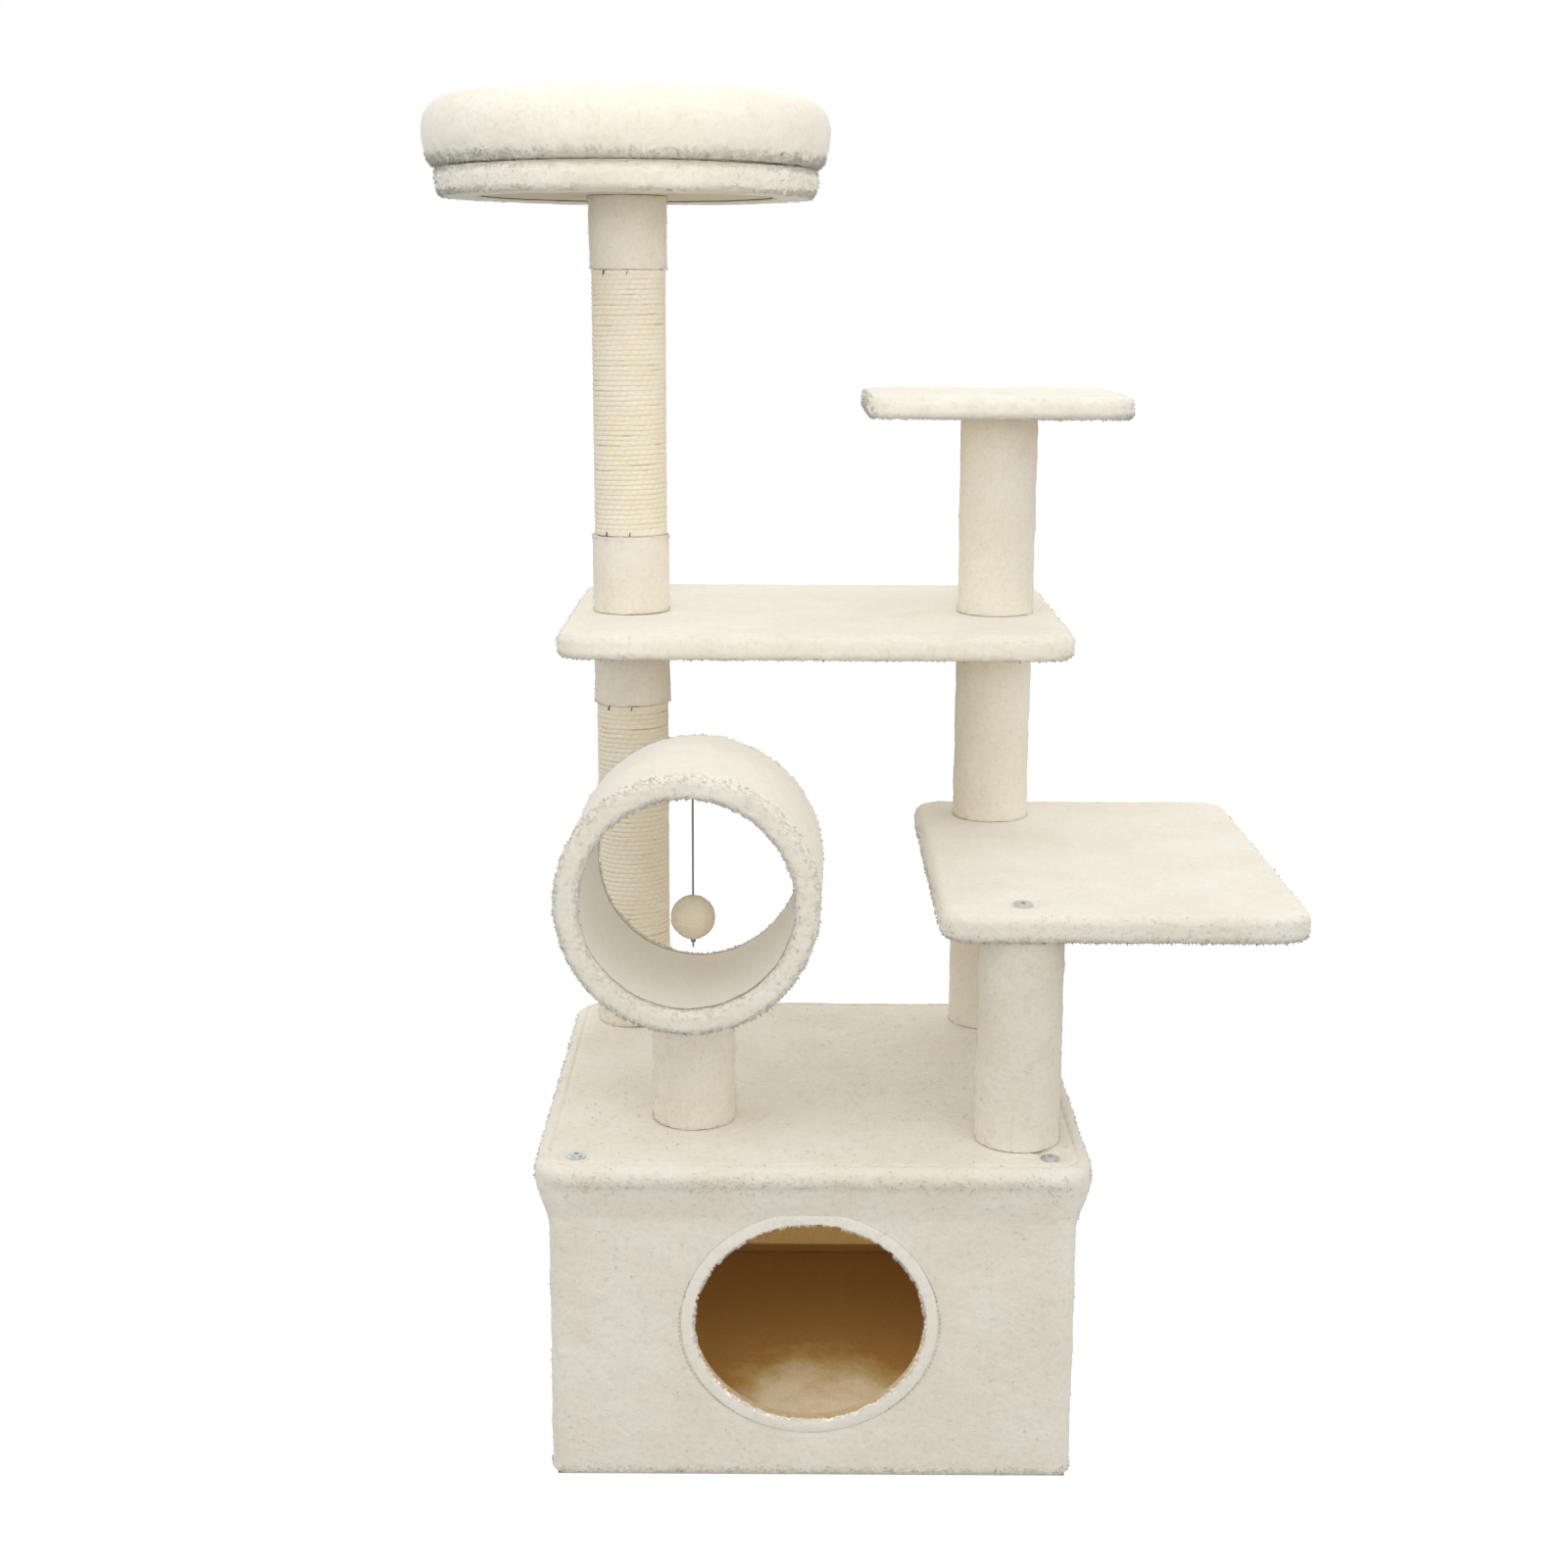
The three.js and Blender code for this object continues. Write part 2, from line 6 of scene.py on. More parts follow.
import bmesh
import bpy
import numpy as np
from mathutils import Matrix, Vector


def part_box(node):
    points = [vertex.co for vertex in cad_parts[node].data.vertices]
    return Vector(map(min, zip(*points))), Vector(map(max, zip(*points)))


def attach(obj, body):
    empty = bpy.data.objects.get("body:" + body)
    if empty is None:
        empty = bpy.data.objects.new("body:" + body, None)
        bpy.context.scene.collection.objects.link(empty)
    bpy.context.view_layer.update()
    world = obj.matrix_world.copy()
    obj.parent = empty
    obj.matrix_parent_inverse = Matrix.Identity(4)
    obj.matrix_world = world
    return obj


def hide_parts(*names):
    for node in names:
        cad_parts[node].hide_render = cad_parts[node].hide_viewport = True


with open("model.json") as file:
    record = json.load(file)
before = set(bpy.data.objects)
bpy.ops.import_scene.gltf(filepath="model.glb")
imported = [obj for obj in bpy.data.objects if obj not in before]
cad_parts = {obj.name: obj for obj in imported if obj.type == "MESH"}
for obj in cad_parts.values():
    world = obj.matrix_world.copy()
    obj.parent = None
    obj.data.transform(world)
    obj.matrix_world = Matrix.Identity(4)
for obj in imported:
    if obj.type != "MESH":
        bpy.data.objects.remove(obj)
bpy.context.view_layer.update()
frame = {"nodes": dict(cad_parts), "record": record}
nodes = frame["nodes"]

MM = 0.001
SEED = 7

# the tunnel's own frame: its middle, the way it points, and its sideways direction
TUNNEL_MID = Vector((-111, -108, 532)) * MM
TUNNEL_TURN = math.radians(1.5)
ALONG = Vector((math.sin(TUNNEL_TURN), math.cos(TUNNEL_TURN), 0))
ACROSS = Vector((math.cos(TUNNEL_TURN), -math.sin(TUNNEL_TURN), 0))


# ---- camera, lights and floor ----
def add_object(name, data):
    made = bpy.data.objects.new(name, data)
    bpy.context.scene.collection.objects.link(made)
    return made


def make_camera():
    data = bpy.data.cameras.new("camera")
    data.lens = 51.13
    data.sensor_width = 36
    data.clip_end = 100
    camera = add_object("camera", data)
    pitch, yaw, roll = (math.radians(a) for a in (12.60, -0.06, 0.27))
    ahead = Vector((math.sin(yaw) * math.cos(pitch), math.cos(yaw) * math.cos(pitch), -math.sin(pitch)))
    right = Vector((math.cos(yaw), -math.sin(yaw), 0))
    up = right.cross(ahead)
    side = right * math.cos(roll) + up * math.sin(roll)
    top = up * math.cos(roll) - right * math.sin(roll)
    turn = Matrix((side, top, -ahead)).transposed().to_4x4()
    camera.matrix_world = Matrix.Translation((-0.0258, -2.0836, 1.0645)) @ turn
    bpy.context.scene.camera = camera


def area_light(name, place, target, size, power):
    data = bpy.data.lights.new(name, "AREA")
    data.shape = "RECTANGLE"
    data.size, data.size_y = size
    data.energy = power
    light = add_object(name, data)
    light.location = place
    light.rotation_euler = (Vector(target) - Vector(place)).to_track_quat("-Z", "Y").to_euler()
    return data


SKY_LIGHT = 0.95
FLOOR_BOUNCE = 0.45
FLOOR_REACH = 30


def make_studio():
    bpy.context.scene.view_settings.view_transform = "Standard"
    world = bpy.data.worlds.new("studio")
    world.use_nodes = True
    tree = world.node_tree
    background = tree.nodes["Background"]
    background.inputs["Color"].default_value = (1, 1, 1, 1)
    seen = tree.nodes.new("ShaderNodeMath")
    seen.operation = "MULTIPLY_ADD"
    seen.inputs[1].default_value = 1.0 - SKY_LIGHT
    seen.inputs[2].default_value = SKY_LIGHT
    tree.links.new(tree.nodes.new("ShaderNodeLightPath").outputs["Is Camera Ray"], seen.inputs[0])
    tree.links.new(seen.outputs[0], background.inputs["Strength"])
    bpy.context.scene.world = world
    area_light("key", (-0.7, -1.5, 3.3), (0, 0, 0.6), (2.2, 2.2), 8)
    area_light("fill", (1.6, -2.6, 1.4), (0, 0, 0.6), (2.0, 2.0), 7)
    area_light("rear", (0.6, 2.6, 2.6), (0, 0, 0.7), (2.0, 1.6), 9)
    high = area_light("upper_fill", (-0.1, -1.9, 1.35), (-0.08, 0.1, 1.2), (0.7, 0.7), 0.72)
    high.spread = math.radians(40)
    data = bpy.data.lights.new("cabin_glow", "POINT")
    data.energy = 0.85
    data.color = (1.0, 0.95, 0.82)
    data.shadow_soft_size = 0.05
    glow = add_object("cabin_glow", data)
    glow.location = (0.02, -0.13, 0.2)
    glow.visible_camera = False
    mesh = bpy.data.meshes.new("floor")
    corners = [(x * FLOOR_REACH, y * FLOOR_REACH, 0) for x, y in ((-1, -1), (1, -1), (1, 1), (-1, 1))]
    mesh.from_pydata(corners, [], [(0, 1, 2, 3)])
    floor = add_object("floor", mesh)
    material = bpy.data.materials.new("floor")
    material.use_nodes = True
    tree = material.node_tree
    shader = tree.nodes["Principled BSDF"]
    shader.inputs["Roughness"].default_value = 0.9
    shader.inputs["Specular IOR Level"].default_value = 0.0
    shader.inputs["Emission Color"].default_value = (1, 1, 1, 1)
    seen = tree.nodes.new("ShaderNodeLightPath").outputs["Is Camera Ray"]
    tree.links.new(seen, shader.inputs["Emission Strength"])
    shade = tree.nodes.new("ShaderNodeMix")
    shade.data_type = "RGBA"
    shade.inputs[6].default_value = (FLOOR_BOUNCE, FLOOR_BOUNCE, FLOOR_BOUNCE, 1)
    shade.inputs[7].default_value = (0.12, 0.12, 0.12, 1)
    tree.links.new(seen, shade.inputs["Factor"])
    tree.links.new(shade.outputs[2], shader.inputs["Base Color"])
    mesh.materials.append(material)


make_camera()
make_studio()


# ---- materials ----
WHITE = (1.0, 1.0, 1.0)
CABIN_BROWN = (0.30, 0.175, 0.055)
# painted shade for the tunnel's lining where it runs in under the rim's seam
SEAM_SHADE = (0.42, 0.35, 0.23, 1)


class Shader:
    """A small helper that wires one Principled material in object coordinates."""

    def __init__(self, name, roughness=0.95, metallic=0.0, sheen=0.0, coordinates="Object"):
        self.material = bpy.data.materials.new(name)
        self.material.use_nodes = True
        self.tree = self.material.node_tree
        self.bsdf = self.tree.nodes["Principled BSDF"]
        self.bsdf.inputs["Roughness"].default_value = roughness
        self.bsdf.inputs["Metallic"].default_value = metallic
        self.bsdf.inputs["Sheen Weight"].default_value = sheen
        self.place = self.node("TexCoord").outputs[coordinates]

    def feed(self, value, socket):
        """Links an output to a socket, or sets a plain value on it."""
        if isinstance(value, bpy.types.NodeSocket):
            self.tree.links.new(value, socket)
        else:
            socket.default_value = value

    def node(self, kind, **inputs):
        """A new shader node; each keyword names an input, with _ for a space."""
        made = self.tree.nodes.new("ShaderNode" + kind)
        for name, value in inputs.items():
            self.feed(value, made.inputs[name.replace("_", " ")])
        return made

    def axis(self, name):
        return self.node("SeparateXYZ", Vector=self.place).outputs[name]

    def noise(self, scale, detail=2.0, roughness=0.5, stretch=None):
        source = self.place
        if stretch:
            source = self.node("Mapping", Scale=stretch, Vector=source).outputs["Vector"]
        node = self.node("TexNoise", Scale=scale, Detail=detail, Roughness=roughness, Vector=source)
        return node.outputs["Fac"]

    def ramp(self, value, stops):
        node = self.node("ValToRGB", Fac=value)
        ramp = node.color_ramp
        while len(ramp.elements) < len(stops):
            ramp.elements.new(0.5)
        for element, (place, colour) in zip(ramp.elements, stops):
            element.position = place
            element.color = (*colour, 1)
        return node.outputs["Color"]

    def mix(self, factor, a, b, blend="MIX"):
        node = self.node("Mix")
        node.data_type = "RGBA"
        node.blend_type = blend
        for socket, value in ((node.inputs["Factor"], factor), (node.inputs[6], a), (node.inputs[7], b)):
            self.feed(value, socket)
        return node.outputs[2]

    def times(self, a, b):
        return self.mix(1.0, a, b, "MULTIPLY")

    def maths(self, kind, a, b):
        node = self.node("Math")
        node.operation = kind
        for socket, value in zip(node.inputs, (a, b)):
            self.feed(value, socket)
        return node.outputs[0]

    def step(self, axis, low, high):
        """0 below low and 1 above high along an object axis, in metres"""
        node = self.node("MapRange", From_Min=low, From_Max=high, Value=self.axis(axis))
        node.interpolation_type = "SMOOTHSTEP"
        return node.outputs["Result"]

    def colour(self, socket):
        self.feed(socket, self.bsdf.inputs["Base Color"])

    def bump(self, *layers):
        """layers of (height, strength, distance in metres), from coarse to fine"""
        normal = None
        for height, strength, distance in layers:
            node = self.node("Bump", Strength=strength, Distance=distance, Height=height)
            if normal is not None:
                self.feed(normal, node.inputs["Normal"])
            normal = node.outputs["Normal"]
        self.feed(normal, self.bsdf.inputs["Normal"])


def plush_material(name, light, depth=0.08, sheen=0.2, clump=190.0, relief=1.0):
    """Short pile: light is the tips' colour, depth how much darker the roots between the tufts are."""
    s = Shader(name, sheen=sheen)
    tufts = s.noise(clump, 3.0, 0.55)
    fibre = s.noise(1100.0, 2.0, 0.6, (1, 1, 0.5))
    brushed = s.noise(14.0, 5.0, 0.6)
    root = (light[0] * (1 - depth), light[1] * (1 - 1.1 * depth), light[2] * (1 - 1.4 * depth))
    between = tuple((2 * a + b) / 3 for a, b in zip(light, root))
    tips = s.ramp(tufts, [(0.28, root), (0.42, between), (0.6, light)])
    patches = s.ramp(brushed, [(0.36, (0.955, 0.935, 0.90)), (0.62, WHITE)])
    fine = s.ramp(fibre, [(0.3, (0.965, 0.96, 0.945)), (0.65, WHITE)])
    s.colour(s.times(s.times(tips, patches), fine))
    s.bump((brushed, 0.35, 0.004), (tufts, 0.5 * relief, 0.0016), (fibre, 0.3 * relief, 0.0006))
    s.bsdf.inputs["Sheen Roughness"].default_value = 0.6
    s.bsdf.inputs["Sheen Tint"].default_value = (1.0, 1.0, 0.98, 1)
    s.bsdf.inputs["Specular IOR Level"].default_value = 0.1
    return s.material


def sisal_material():
    """Rope of three twisted strands; U runs along the rope in metres and V round it."""
    s = Shader("sisal_rope", 0.85, coordinates="UV")
    lay = s.node("Mapping", Scale=(260.0, 3.0, 1.0), Vector=s.place).outputs["Vector"]
    wave = s.node("TexWave", Scale=0.32, Distortion=1.2, Detail=2.0, Vector=lay)
    wave.wave_type = "BANDS"
    wave.bands_direction = "DIAGONAL"
    twist = wave.outputs["Fac"]
    s.place = s.node("TexCoord").outputs["Object"]
    fibre = s.noise(900.0, 4.0, 0.7, (1, 1, 2.5))
    stain = s.noise(30.0, 3.0, 0.5)
    strands = [(0.0, (0.90, 0.82, 0.66)), (0.3, (0.925, 0.862, 0.725)), (1.0, (0.94, 0.885, 0.765))]
    hair = s.ramp(fibre, [(0.3, (0.90, 0.87, 0.80)), (0.6, WHITE)])
    tone = s.ramp(stain, [(0.3, (0.96, 0.94, 0.89)), (0.7, WHITE)])
    s.colour(s.times(s.times(s.ramp(twist, strands), hair), tone))
    s.bump((twist, 0.12, 0.0004), (fibre, 0.4, 0.0004))
    return s.material


def cabin_mat_material():
    """The brown pile mat on the cabin's floor, with a painted pool of light: pale just inside the door,
    fading out to the mat's dark brown.
    """
    s = Shader("cabin_mat")
    tufts = s.noise(420.0, 3.0, 0.6)
    ragged = s.noise(17.0, 4.0, 0.6)
    # painted light: the pale patch is daylight through the door falling on the mat, centred here, with a
    # ragged edge
    across = s.maths("MULTIPLY", s.maths("SUBTRACT", s.axis("X"), 0.024), 1 / 0.12)
    deep = s.maths("MULTIPLY", s.maths("ADD", s.axis("Y"), 0.165), 1 / 0.16)
    away = s.maths("ADD", s.maths("MULTIPLY", across, across), s.maths("MULTIPLY", deep, deep))
    edge = s.maths("ADD", away, s.maths("MULTIPLY", s.maths("SUBTRACT", ragged, 0.5), 1.6))
    brown = tuple(0.9 * c for c in CABIN_BROWN)
    door_light_pool = s.ramp(edge, [(0.10, (0.50, 0.475, 0.40)), (0.40, (0.42, 0.37, 0.25)), (0.75, (0.33, 0.24, 0.10)),
                         (1.0, brown)])
    nap = s.ramp(tufts, [(0.3, (0.86, 0.83, 0.78)), (0.65, WHITE)])
    s.colour(s.times(door_light_pool, nap))
    s.bump((tufts, 0.4, 0.001))
    return s.material


def cabin_wall_material():
    """Tan lining cloth, dark along the floor where the mat's pile stands against it."""
    s = Shader("cabin_lining")
    weave = s.noise(500.0, 3.0, 0.6)
    tan = s.ramp(weave, [(0.3, (0.66, 0.50, 0.24)), (0.65, (0.78, 0.61, 0.31))])
    s.colour(s.mix(s.step("Z", 0.026, 0.029), (*CABIN_BROWN, 1), tan))
    s.bump((weave, 0.3, 0.0006))
    return s.material


def tunnel_lining_material():
    """The tunnel's lining, with painted shade where it runs in under the rim's seam at either end."""
    s = Shader("tunnel_lining", sheen=0.2)
    tufts = s.noise(300.0, 3.0, 0.6)
    pale = s.ramp(tufts, [(0.3, (0.87, 0.82, 0.72)), (0.6, (0.93, 0.89, 0.80))])
    rear_seam = s.step("Y", -0.0285, -0.0255)
    front_seam = s.step("Y", -0.1905, -0.1875)
    s.colour(s.mix(rear_seam, s.mix(front_seam, SEAM_SHADE, pale), SEAM_SHADE))
    s.bump((tufts, 0.4, 0.0012))
    return s.material


def door_facing_material():
    """Ivory facing round the door, giving way to the brown edge of the board behind it."""
    s = Shader("ivory_facing", sheen=0.2)
    tufts = s.noise(600.0, 3.0, 0.6)
    ivory = s.ramp(tufts, [(0.3, (0.90, 0.85, 0.745)), (0.6, (0.95, 0.905, 0.81))])
    s.colour(s.mix(s.step("Y", -0.2296, -0.2278), ivory, (0.36, 0.29, 0.17, 1)))
    s.bump((tufts, 0.3, 0.0008))
    return s.material


def board_material():
    s = Shader("particle_board", 0.82)
    chips = s.node("TexVoronoi", Scale=420.0, Vector=s.place).outputs["Distance"]
    grain = s.noise(90.0, 4.0, 0.6)
    base = s.ramp(grain, [(0.3, (0.46, 0.29, 0.12)), (0.7, (0.62, 0.43, 0.21))])
    s.colour(s.times(base, s.ramp(chips, [(0.1, (0.78, 0.74, 0.66)), (0.7, WHITE)])))
    s.bump((chips, 0.3, 0.0004))
    return s.material


def paper_material():
    s = Shader("wound_paper", 0.8)
    grain = s.noise(140.0, 4.0, 0.6, (1, 1, 0.2))
    s.colour(s.ramp(grain, [(0.3, (0.34, 0.24, 0.14)), (0.7, (0.50, 0.38, 0.24))]))
    s.bump((grain, 0.3, 0.0003))
    return s.material


def steel_material(name, tone):
    s = Shader(name, 0.32, 1.0)
    spangle = s.noise(500.0, 3.0, 0.6)
    dull = tuple(0.82 * c for c in tone)
    s.colour(s.ramp(spangle, [(0.35, dull), (0.65, tone)]))
    s.bump((spangle, 0.15, 0.0001))
    return s.material


def elastic_material():
    s = Shader("grey_elastic", 0.7)
    wave = s.node("TexWave", Scale=450.0, Vector=s.place)
    wave.wave_type = "BANDS"
    wave.bands_direction = "DIAGONAL"
    braid = wave.outputs["Fac"]
    s.colour(s.ramp(braid, [(0.2, (0.16, 0.16, 0.17)), (0.8, (0.36, 0.36, 0.37))]))
    s.bump((braid, 0.5, 0.0003))
    return s.material


PLUSH = plush_material("cream_plush", (0.93, 0.888, 0.785), 0.08, 0.4)
# the posts' plush: a shorter pile, and a darker cream that is painted shade for the posts standing under the
# shelves
SHADED_SHORT_PLUSH = plush_material("cream_plush_short_shaded", (0.88, 0.825, 0.715), 0.09, 0.25, 240.0, 0.9)
FACING = door_facing_material()
BACKING = plush_material("backing_cloth", (0.80, 0.72, 0.56), 0.05, 0.05, 1400.0, 0.4)
SISAL = sisal_material()
LINING = tunnel_lining_material()
CABIN_MAT = cabin_mat_material()
BACK_LINING = cabin_wall_material()
ELASTIC = elastic_material()
YARN = plush_material("toy_yarn", (0.86, 0.77, 0.60), 0.15, 0.2, 600.0)
THREAD = plush_material("seam_thread", (0.72, 0.62, 0.44), 0.15, 0.05, 1800.0)
DARK_STAPLE = steel_material("staple_steel", (0.16, 0.12, 0.09))
FINISHES = {"plush": PLUSH, "sisal": SISAL, "board": board_material(), "paper_tube": paper_material(),
            "steel": steel_material("zinc_steel", (0.80, 0.81, 0.82)), "elastic": ELASTIC, "toy_yarn": YARN}
CLOTH_BACKED = ("bed_board", "perch_board", "middle_shelf_board", "lower_shelf_board")
LINED_PANELS = ("back_panel", "left_panel", "right_panel")


def finish_cad_nodes():
    finish = {row["node"]: FINISHES[row["material_slot"]] for row in frame["record"]["subparts"]}
    finish.update(dict.fromkeys(CLOTH_BACKED, BACKING) | dict.fromkeys(LINED_PANELS, BACK_LINING))
    for name, node in nodes.items():
        node.data.materials.clear()
        node.data.materials.append(finish[name])


# ---- mesh helpers ----
def lattice_noise(points, size, seed=SEED):
    """Smooth value noise from -1 to 1 at points (N, 3), with cells of the given size in metres."""
    p = points / size + 1000.0
    cell = np.floor(p).astype(np.int64)
    f = p - cell
    f = f * f * (3 - 2 * f)
    total = np.zeros(len(points))
    for dx in (0, 1):
        for dy in (0, 1):
            for dz in (0, 1):
                h = (cell[:, 0] + dx) * 73856093 ^ (cell[:, 1] + dy) * 19349663
                h = (h ^ (cell[:, 2] + dz) * 83492791 ^ seed * 2654435761) & 0xFFFFFFFF
                h = ((h ^ (h >> 15)) * 2246822519) & 0xFFFFFFFF
                h = ((h ^ (h >> 13)) * 3266489917) & 0xFFFFFFFF
                value = ((h ^ (h >> 16)) & 0xFFFF) / 32767.5 - 1
                weight = np.where(dx, f[:, 0], 1 - f[:, 0]) * np.where(dy, f[:, 1], 1 - f[:, 1])
                total += value * weight * np.where(dz, f[:, 2], 1 - f[:, 2])
    return total


def smoothstep(low, high, x):
    t = np.clip((x - low) / (high - low), 0, 1)
    return t * t * (3 - 2 * t)


def new_piece(name, verts, faces, material, slot="plush", body="root"):
    mesh = bpy.data.meshes.new(name)
    mesh.from_pydata([tuple(v) for v in verts], [], faces)
    mesh.validate()
    mesh.shade_smooth()
    mesh.materials.append(material)
    piece = add_object(name, mesh)
    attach(piece, body)
    return piece


def loft(rings, closed=False):
    """Vertices and quads through rings of N points each; open ends are closed with a fan."""
    rings = [np.asarray(r, float) for r in rings]
    n = len(rings[0])
    verts = np.vstack(rings)
    faces = []
    pairs = [(k, k + 1) for k in range(len(rings) - 1)]
    if closed:
        pairs.append((len(rings) - 1, 0))
    ahead = (np.arange(n) + 1) % n
    for a, b in pairs:
        base, top = a * n, b * n
        quads = np.stack([base + np.arange(n), base + ahead, top + ahead, top + np.arange(n)], 1)
        faces.extend(map(tuple, quads.tolist()))
    if not closed:
        for ring, first in ((0, True), (len(rings) - 1, False)):
            middle = len(verts)
            verts = np.vstack([verts, rings[ring].mean(0)])
            for i in range(n):
                a, b = ring * n + i, ring * n + int(ahead[i])
                faces.append((b, a, middle) if first else (a, b, middle))
    return verts, faces


def outward(piece):
    work = bmesh.new()
    work.from_mesh(piece.data)
    bmesh.ops.recalc_face_normals(work, faces=work.faces)
    work.to_mesh(piece.data)
    work.free()


def lofted(name, rings, material, slot="plush", body="root", closed=False):
    piece = new_piece(name, *loft(rings, closed), material, slot, body)
    outward(piece)
    return piece


def read_points(piece):
    co = np.zeros(len(piece.data.vertices) * 3)
    piece.data.vertices.foreach_get("co", co)
    return co.reshape(-1, 3)


def read_normals(piece):
    n = np.zeros(len(piece.data.vertices) * 3)
    piece.data.vertices.foreach_get("normal", n)
    return n.reshape(-1, 3)


def write_points(piece, points):
    piece.data.vertices.foreach_set("co", np.asarray(points).reshape(-1))
    piece.data.update()


def pile(piece, where=None, fuzz=0.55, swell=0.6, seed=SEED):
    """Raises the nap: fine tufts of fuzz mm and soft unevenness of swell mm, weighted by where (N,)."""
    points, normals = read_points(piece), read_normals(piece)
    weight = np.ones(len(points)) if where is None else where(points)
    tufts = 0.6 * lattice_noise(points, 2.6 * MM, seed) + 0.4 * lattice_noise(points, 5.5 * MM, seed + 1)
    soft = 0.35 * lattice_noise(points, 12 * MM, seed + 4) + 0.4 * lattice_noise(points, 26 * MM, seed + 2)
    soft += 0.35 * lattice_noise(points, 60 * MM, seed + 3)
    lift = (tufts * fuzz + soft * swell) * MM * weight
    write_points(piece, points + normals * lift[:, None])


HAIR_LEAN = 0.7
HAIR_RISE = 0.35  # every hair points at least this much away from the cloth


def tuft(piece, weight, count, length=3.4 * MM, width=0.6 * MM, droop=0.35):
    """Loose hairs standing off the nap: thin three-sided spikes sown by weight (N,) over the faces."""
    mesh = piece.data
    mesh.calc_loop_triangles()
    corners = np.zeros(len(mesh.loop_triangles) * 3, int)
    mesh.loop_triangles.foreach_get("vertices", corners)
    corners = corners.reshape(-1, 3)
    points, normals = read_points(piece), read_normals(piece)
    a, b, c = (points[corners[:, k]] for k in range(3))
    area = np.linalg.norm(np.cross(b - a, c - a), axis=1)
    chance = area * np.clip(weight((a + b + c) / 3, normals[corners].mean(1)), 0, None)
    rng = np.random.default_rng(SEED)
    pick = rng.choice(len(corners), count, p=chance / chance.sum())
    u, v = rng.random((2, count, 1))
    over = u + v > 1
    u, v = np.where(over, 1 - u, u), np.where(over, 1 - v, v)
    root = a[pick] + (b[pick] - a[pick]) * u + (c[pick] - a[pick]) * v
    normal = normals[corners[pick]].mean(1)
    normal /= np.linalg.norm(normal, axis=1)[:, None]
    way = normal + rng.normal(0, HAIR_LEAN, (count, 3)) * 0.6
    way[:, 2] -= droop
    into = (way * normal).sum(1)
    way += normal * np.clip(HAIR_RISE - into, 0, None)[:, None]
    way /= np.linalg.norm(way, axis=1)[:, None]
    side = np.cross(way, rng.normal(0, 1, (count, 3)))
    side /= np.linalg.norm(side, axis=1)[:, None]
    other = np.cross(way, side)
    size = width * rng.uniform(0.6, 1.3, (count, 1))
    tip = root + way * length * rng.uniform(0.45, 1.0, (count, 1))
    foot = root - normal * 0.4 * MM
    spikes = [foot + side * size, foot - side * size / 2 + other * size * 0.87,
              foot - side * size / 2 - other * size * 0.87, tip]
    first = len(points)
    index = first + np.arange(count)
    one, two, three, four = (index + count * k for k in range(4))
    sides = ((one, two, four), (two, three, four), (three, one, four), (one, three, two))
    added = np.vstack([np.column_stack(side) for side in sides])
    faces = [tuple(f.vertices) for f in mesh.polygons] + list(map(tuple, added.tolist()))
    mesh.clear_geometry()
    mesh.from_pydata(list(map(tuple, np.vstack([points, *spikes]).tolist())), [], faces)
    mesh.shade_smooth()
    soft = np.vstack([normals, *[normal] * 4])  # hairs take the nap's own normal, so they don't fleck it
    mesh.normals_split_custom_set_from_vertices(list(map(tuple, soft.tolist())))


def middle_of(low, high):
    return ((low.x + high.x) / 2, (low.y + high.y) / 2)


def off_axis(p, middle):
    return np.hypot(p[:, 0] - middle[0], p[:, 1] - middle[1])


def from_sides(p, low, high):
    """How far points lie inside a box's four upright sides."""
    x, y = p[:, 0], p[:, 1]
    return np.minimum(np.minimum(x - low.x, high.x - x), np.minimum(y - low.y, high.y - y))


def past_core(p, low, high, corner):
    """How far points lie outside the box that is inset by the corner's radius."""
    near_x = np.clip(p[:, 0], low.x + corner, high.x - corner)
    near_y = np.clip(p[:, 1], low.y + corner, high.y - corner)
    return np.hypot(p[:, 0] - near_x, p[:, 1] - near_y)


# ---- covered boards ----
def outline(low, high, r, step, same_as=None):
    """Skeleton points and outward normals of a rounded rectangle; inset d is at base + normal * (r - d).

    same_as is (width, depth, corner) of another outline whose point counts are to be matched."""
    base, normal = [], []
    corners = [(high.x - r, low.y + r, -90), (high.x - r, high.y - r, 0)]
    corners += [(low.x + r, high.y - r, 90), (low.x + r, low.y + r, 180)]
    wide, deep, round_r = same_as or (high.x - low.x, high.y - low.y, r)
    arc_steps = max(6, round(round_r * math.pi / 2 / step))
    sides = (deep - 2 * round_r, wide - 2 * round_r)
    for k, (cx, cy, start) in enumerate(corners):
        for i in range(arc_steps + 1):
            a = math.radians(start + 90 * i / arc_steps)
            base.append((cx, cy))
            normal.append((math.cos(a), math.sin(a)))
        nx, ny, _ = corners[(k + 1) % 4]
        count = max(2, round(sides[k % 2] / step))
        a = math.radians(start + 90)
        for i in range(1, count):
            t = i / count
            base.append((cx + (nx - cx) * t, cy + (ny - cy) * t))
            normal.append((math.cos(a), math.sin(a)))
    return np.array(base), np.array(normal)


def inset_ring(base, normal, r, d, z):
    flat = base + normal * (r - d)
    return np.column_stack([flat, np.full(len(flat), z)])


def fill(ring, count):
    """Rings that shrink from ring towards its middle."""
    middle = ring.mean(0)
    return [middle + (ring - middle) * (1 - k / count) for k in range(1, count)]


BOARD_CORNER = 32 * MM
LIP = 20 * MM
# a cover's pocket round its board: in from the sides, up from below, down from the top at the edge and middle
POCKET_SIDE = 5.3 * MM
POCKET_FOOT = 2.5 * MM
POCKET_TOP = 3.4 * MM
POCKET_MIDDLE = 3.45 * MM


def quarter(count=6):
    return [math.pi / 2 * k / count for k in range(count + 1)]


def rolled(count=6):
    """Pairs that run from (1, 0) to (0, 1) along a quarter circle."""
    return [(1 - math.sin(a), 1 - math.cos(a)) for a in quarter(count)]


